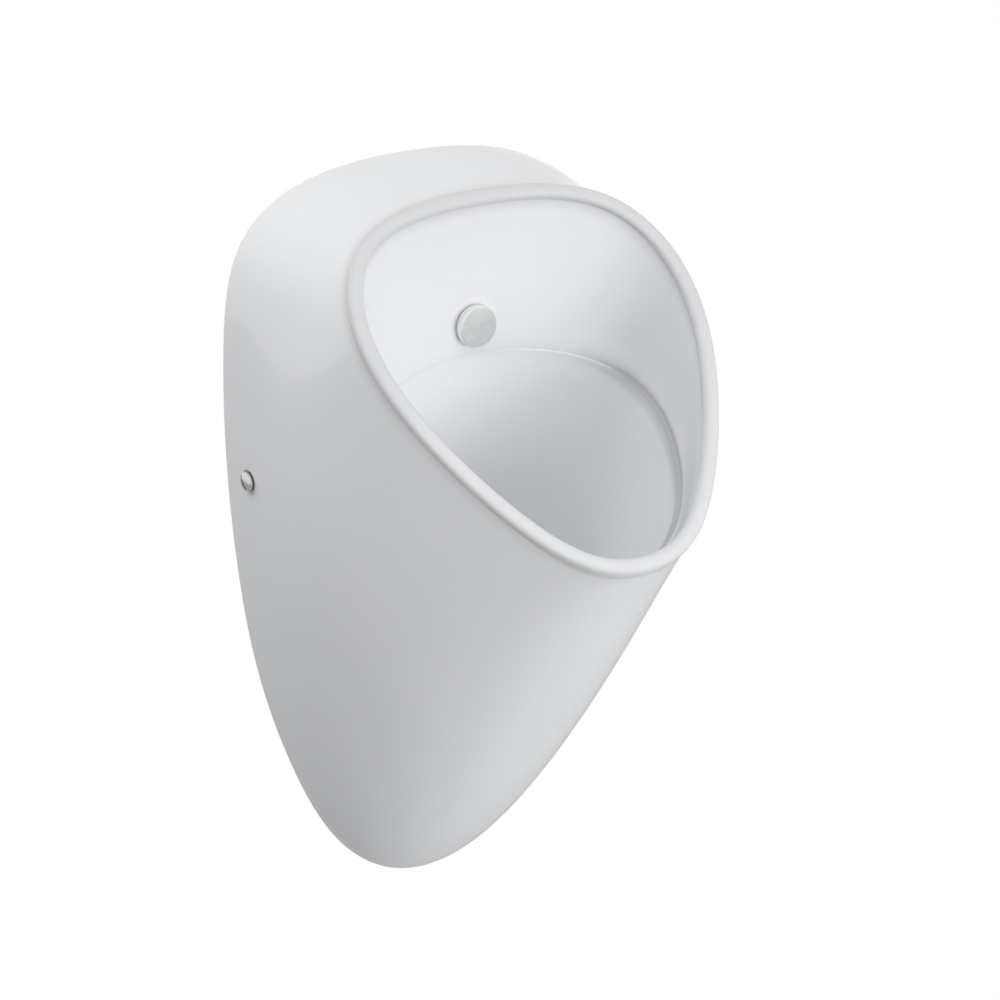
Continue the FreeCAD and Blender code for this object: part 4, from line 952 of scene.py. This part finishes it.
chinaBody, shadeLines = makeChina()
print("china shell made", len(chinaBody.data.polygons))
carve(chinaBody, makeHollow())
print("open back cut", len(chinaBody.data.polygons))
cutFittings(chinaBody)
paintShadeAndLight(chinaBody, shadeLines)
finishPiece(chinaBody, "urinal", ["china_body"])
print("fitting holes cut", len(chinaBody.data.polygons))


cap = {
    "radius": 15.6,
    "face": 95.2,
    "back": 88.8,
    "wall": 1.3,
    "faceThickness": 2.0,
    "stemRadius": 2.5,
    "stemEnd": 86.8,
    "rounding": (0.3, 0.4, 0.5, 0.2, 0.25, 1.3),
    "roundingSteps": 9,
    "segments": 128,
}


def makeCap():
    # the spreader's cap: a turned disc with a rounded edge, hollow behind, on a thin stem
    inside = cap["radius"] - cap["wall"]
    underFace = cap["face"] - cap["faceThickness"]
    outline = [(0, cap["stemEnd"]), (cap["stemRadius"], cap["stemEnd"]), (cap["stemRadius"], underFace),
               (inside, underFace), (inside, cap["back"]), (cap["radius"], cap["back"]),
               (cap["radius"], cap["face"]), (0, cap["face"])]
    outline = softCorners(outline, cap["rounding"], cap["roundingSteps"])
    disc = turnedForm("spreaderCap", outline, inlet, -toWall, cap["segments"], [capSatin])
    finishPiece(disc, "urinal", ["spreader_cap"])


screw = {
    "tip": 119.6,
    "under": 159.6,
    "shank": 4.0,
    "point": 1.0,
    "pitch": 1.25,
    "threadDepth": 0.62,
    "threadEnd": 150.0,
    "leadIn": 2.5,
    "runOut": 1.5,
    "headRadius": 7.3,
    "headEdge": 1.2,
    "headArris": 0.25,
    "crown": 4.58,
    "slotWidth": 1.7,
    "slotDepth": 1.9,
    "slotTurn": 40.0,
    "slotReach": 9.0,
    "slotHeight": 5.0,
    "segments": 72,
    "rowsPerTurn": 9,
    "domeRows": 14,
    "smooth": 25.0,
}
cornerSigns = ((-1, -1), (1, -1), (1, 1), (-1, 1))
boxFaces = np.array([(0, 3, 2, 1), (4, 5, 6, 7), (0, 1, 5, 4), (1, 2, 6, 5), (2, 3, 7, 6), (3, 0, 4, 7)])


def driverSlot(side):
    # the driver slot, a plain block across the dome
    lean = math.radians(screw["slotTurn"])
    along, across = np.array([0, -math.sin(lean), -math.cos(lean)]), np.array([0, math.cos(lean), -math.sin(lean)])
    bottom = screw["under"] + screw["crown"] - screw["slotDepth"]
    corners = [screwBase + np.array([side, 0.0, 0.0]) * height + along * (first * screw["slotReach"])
               + across * (second * screw["slotWidth"] / 2)
               for height in (bottom, bottom + screw["slotHeight"]) for first, second in cornerSigns]
    return meshObject("driverSlot", np.array(corners), boxFaces, [chromeScrew])


def makeScrew(label, side):
    # rows of rings: the shank's radius dips along a helix, then come the head's rim and its dome
    tip, under, shank, arris = screw["tip"], screw["under"], screw["shank"], screw["headArris"]
    headRadius, threadEnd = screw["headRadius"], screw["threadEnd"]
    shankRows = np.arange(tip + screw["point"], under, screw["pitch"] / screw["rowsPerTurn"])
    domeTurn = np.linspace(0, np.pi / 2, screw["domeRows"])[:-1]
    dome = under + screw["headEdge"] + (screw["crown"] - screw["headEdge"]) * np.sin(domeTurn)
    heights = np.concatenate([[tip], shankRows, [under, under, under + arris], dome])
    radii = np.concatenate([[shank - screw["point"]], np.full(len(shankRows), shank),
                            [shank, headRadius - arris, headRadius], headRadius * np.cos(domeTurn)])
    turn = np.linspace(0, 2 * np.pi, screw["segments"], endpoint=False)
    phase = (heights[:, None] / screw["pitch"] - turn[None] / (2 * np.pi)) % 1
    fade = smoothStep(heights, tip, tip + screw["leadIn"])
    fade *= 1 - smoothStep(heights, threadEnd - screw["runOut"], threadEnd)
    cut = (1 - np.abs(2 * phase - 1)) * screw["threadDepth"] * fade[:, None]
    reach = radii[:, None] - cut
    grid = np.stack([side * heights[:, None] + 0 * turn[None], screwBase[1] + reach * np.cos(turn),
                     screwBase[2] + reach * np.sin(turn)], -1)
    ends = [screwBase + (side * height, 0, 0) for height in (tip, under + screw["crown"])]
    piece = closedForm(label + "SideScrew", grid, *ends, [chromeScrew])
    carve(piece, driverSlot(side))
    finishPiece(piece, label + "_screw", [label + "_side_screw"], screw["smooth"])


makeCap()
for label, side in sides.items():
    makeScrew(label, side)
print("cap and screws made")


finishedNodes = (
    (brassInlet, "spreader_nozzle nozzle_nut seal_nut"),
    (chromeInlet, "flush_pipe"),
    (steelWaste, "drain_strainer"),
    (chromeWaste, "waste_flange"),
    (plastic, "waste_nut trap_bend trap_arm cleanout_plug inlet_slip_nut outlet_slip_nut"),
    (zincFixing, "left_bracket right_bracket left_bush right_bush"),
    (sleevePlastic, "left_sleeve right_sleeve"),
)
nodeFinishes = {name: finish for finish, names in finishedNodes for name in names.split()}
rebuilt = {"china_body", "spreader_cap", "left_side_screw", "right_side_screw"}
for name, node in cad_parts.items():
    if name not in rebuilt:
        node.data.materials.clear()
        node.data.materials.append(nodeFinishes.get(name, rubber))
print("other pieces finished")


studio = {
    "ambient": 0.09,
    "floorDrop": 0.64,
    "floorHalf": 6.0,
    "floorColour": (0.55, 0.55, 0.55, 1),
    "floorRoughness": 0.9,
    "cardLift": 0.01,
    "cardHalf": 3.0,
    "cardColour": (0.44, 0.45, 0.46, 1),
    "lampSize": 1.8,
    "lamps": {
        "front": ((0.0, -3.0, 0.3), 12.0),
        "frontTop": ((0.3, -2.2, 2.2), 18.0),
        "top": ((0.0, -0.3, 3.0), 16.0),
        "leftTop": ((-1.9, -0.4, 2.3), 40.0),
        "leftBackTop": ((-1.8, 1.6, 1.5), 25.0),
        "rightFront": ((2.2, -2.0, 0.5), 13.0),
        "frontLow": ((0.7, -2.6, -0.4), 50.0),
    },
}


def seenRays(nodes):
    # one for a camera, glossy or transmission ray, else nought
    rays = nodes.new("ShaderNodeLightPath")
    outcome = rays.outputs["Is Camera Ray"]
    for kind in ("Is Glossy Ray", "Is Transmission Ray"):
        outcome = calculate(nodes, "MAXIMUM", outcome, rays.outputs[kind])
    return outcome


def levelSquare(name, half, height, material):
    # a square about the Z axis, half a side and a height given in metres, that belongs to the studio
    corners = [(half * first, half * second, height) for first, second in cornerSigns]
    square = meshObject(name, np.array(corners) / millimetre, np.array([[0, 1, 2, 3]]), [material])
    return square


def makeFloor():
    # pale where light bounces off it, plain white where it is seen
    material, nodes, shader = newMaterial("paleFloor")
    feed(studio["floorColour"], shader.inputs["Base Color"])
    feed(studio["floorRoughness"], shader.inputs["Roughness"])
    white = nodes.new("ShaderNodeEmission")
    mix = nodes.new("ShaderNodeMixShader")
    for source, socket in zip((seenRays(nodes), shader.outputs[0], white.outputs[0]), mix.inputs):
        feed(source, socket)
    feed(mix.outputs[0], nodes["Material Output"].inputs["Surface"])
    levelSquare("floor", studio["floorHalf"], -studio["floorDrop"], material)


def makeCard():
    # a grey card just above the floor that only reflections see, so that edges stand out from the white
    material, nodes, shader = newMaterial("greyCard")
    feed((0, 0, 0, 1), shader.inputs["Base Color"])
    feed(studio["cardColour"], shader.inputs["Emission Color"])
    feed(1.0, shader.inputs["Emission Strength"])
    card = levelSquare("greyCard", studio["cardHalf"], studio["cardLift"] - studio["floorDrop"], material)
    card.visible_camera = card.visible_diffuse = card.visible_transmission = card.visible_shadow = False


def makeWorld():
    # white where it is seen, and a dim fill for the rest
    world = bpy.data.worlds.new("studio")
    bpy.context.scene.world = world
    world.use_nodes = True
    nodes = world.node_tree.nodes
    level = nodes.new("ShaderNodeMapRange")
    feed(studio["ambient"], level.inputs["To Min"])
    feed(1.0, level.inputs["To Max"])
    feed(seenRays(nodes), level.inputs["Value"])
    feed(level.outputs[0], nodes["Background"].inputs["Strength"])
    feed((1, 1, 1, 1), nodes["Background"].inputs["Color"])


def softLamp(name, spot, power):
    # a square lamp that faces the middle of the object and that reflections don't show
    lamp = bpy.data.lights.new(name, "AREA")
    lamp.shape = "SQUARE"
    lamp.size = studio["lampSize"]
    lamp.energy = power
    holder = bpy.data.objects.new(name, lamp)
    holder.location = spot
    holder.rotation_euler = (Vector(camera["target"]) - Vector(spot)).to_track_quat("-Z", "Y").to_euler()
    holder.visible_glossy = False
    bpy.context.scene.collection.objects.link(holder)


makeFloor()
makeCard()
makeWorld()
for name, (spot, power) in studio["lamps"].items():
    softLamp(name, spot, power)
bpy.context.scene.view_settings.view_transform = "Standard"
print("studio set")
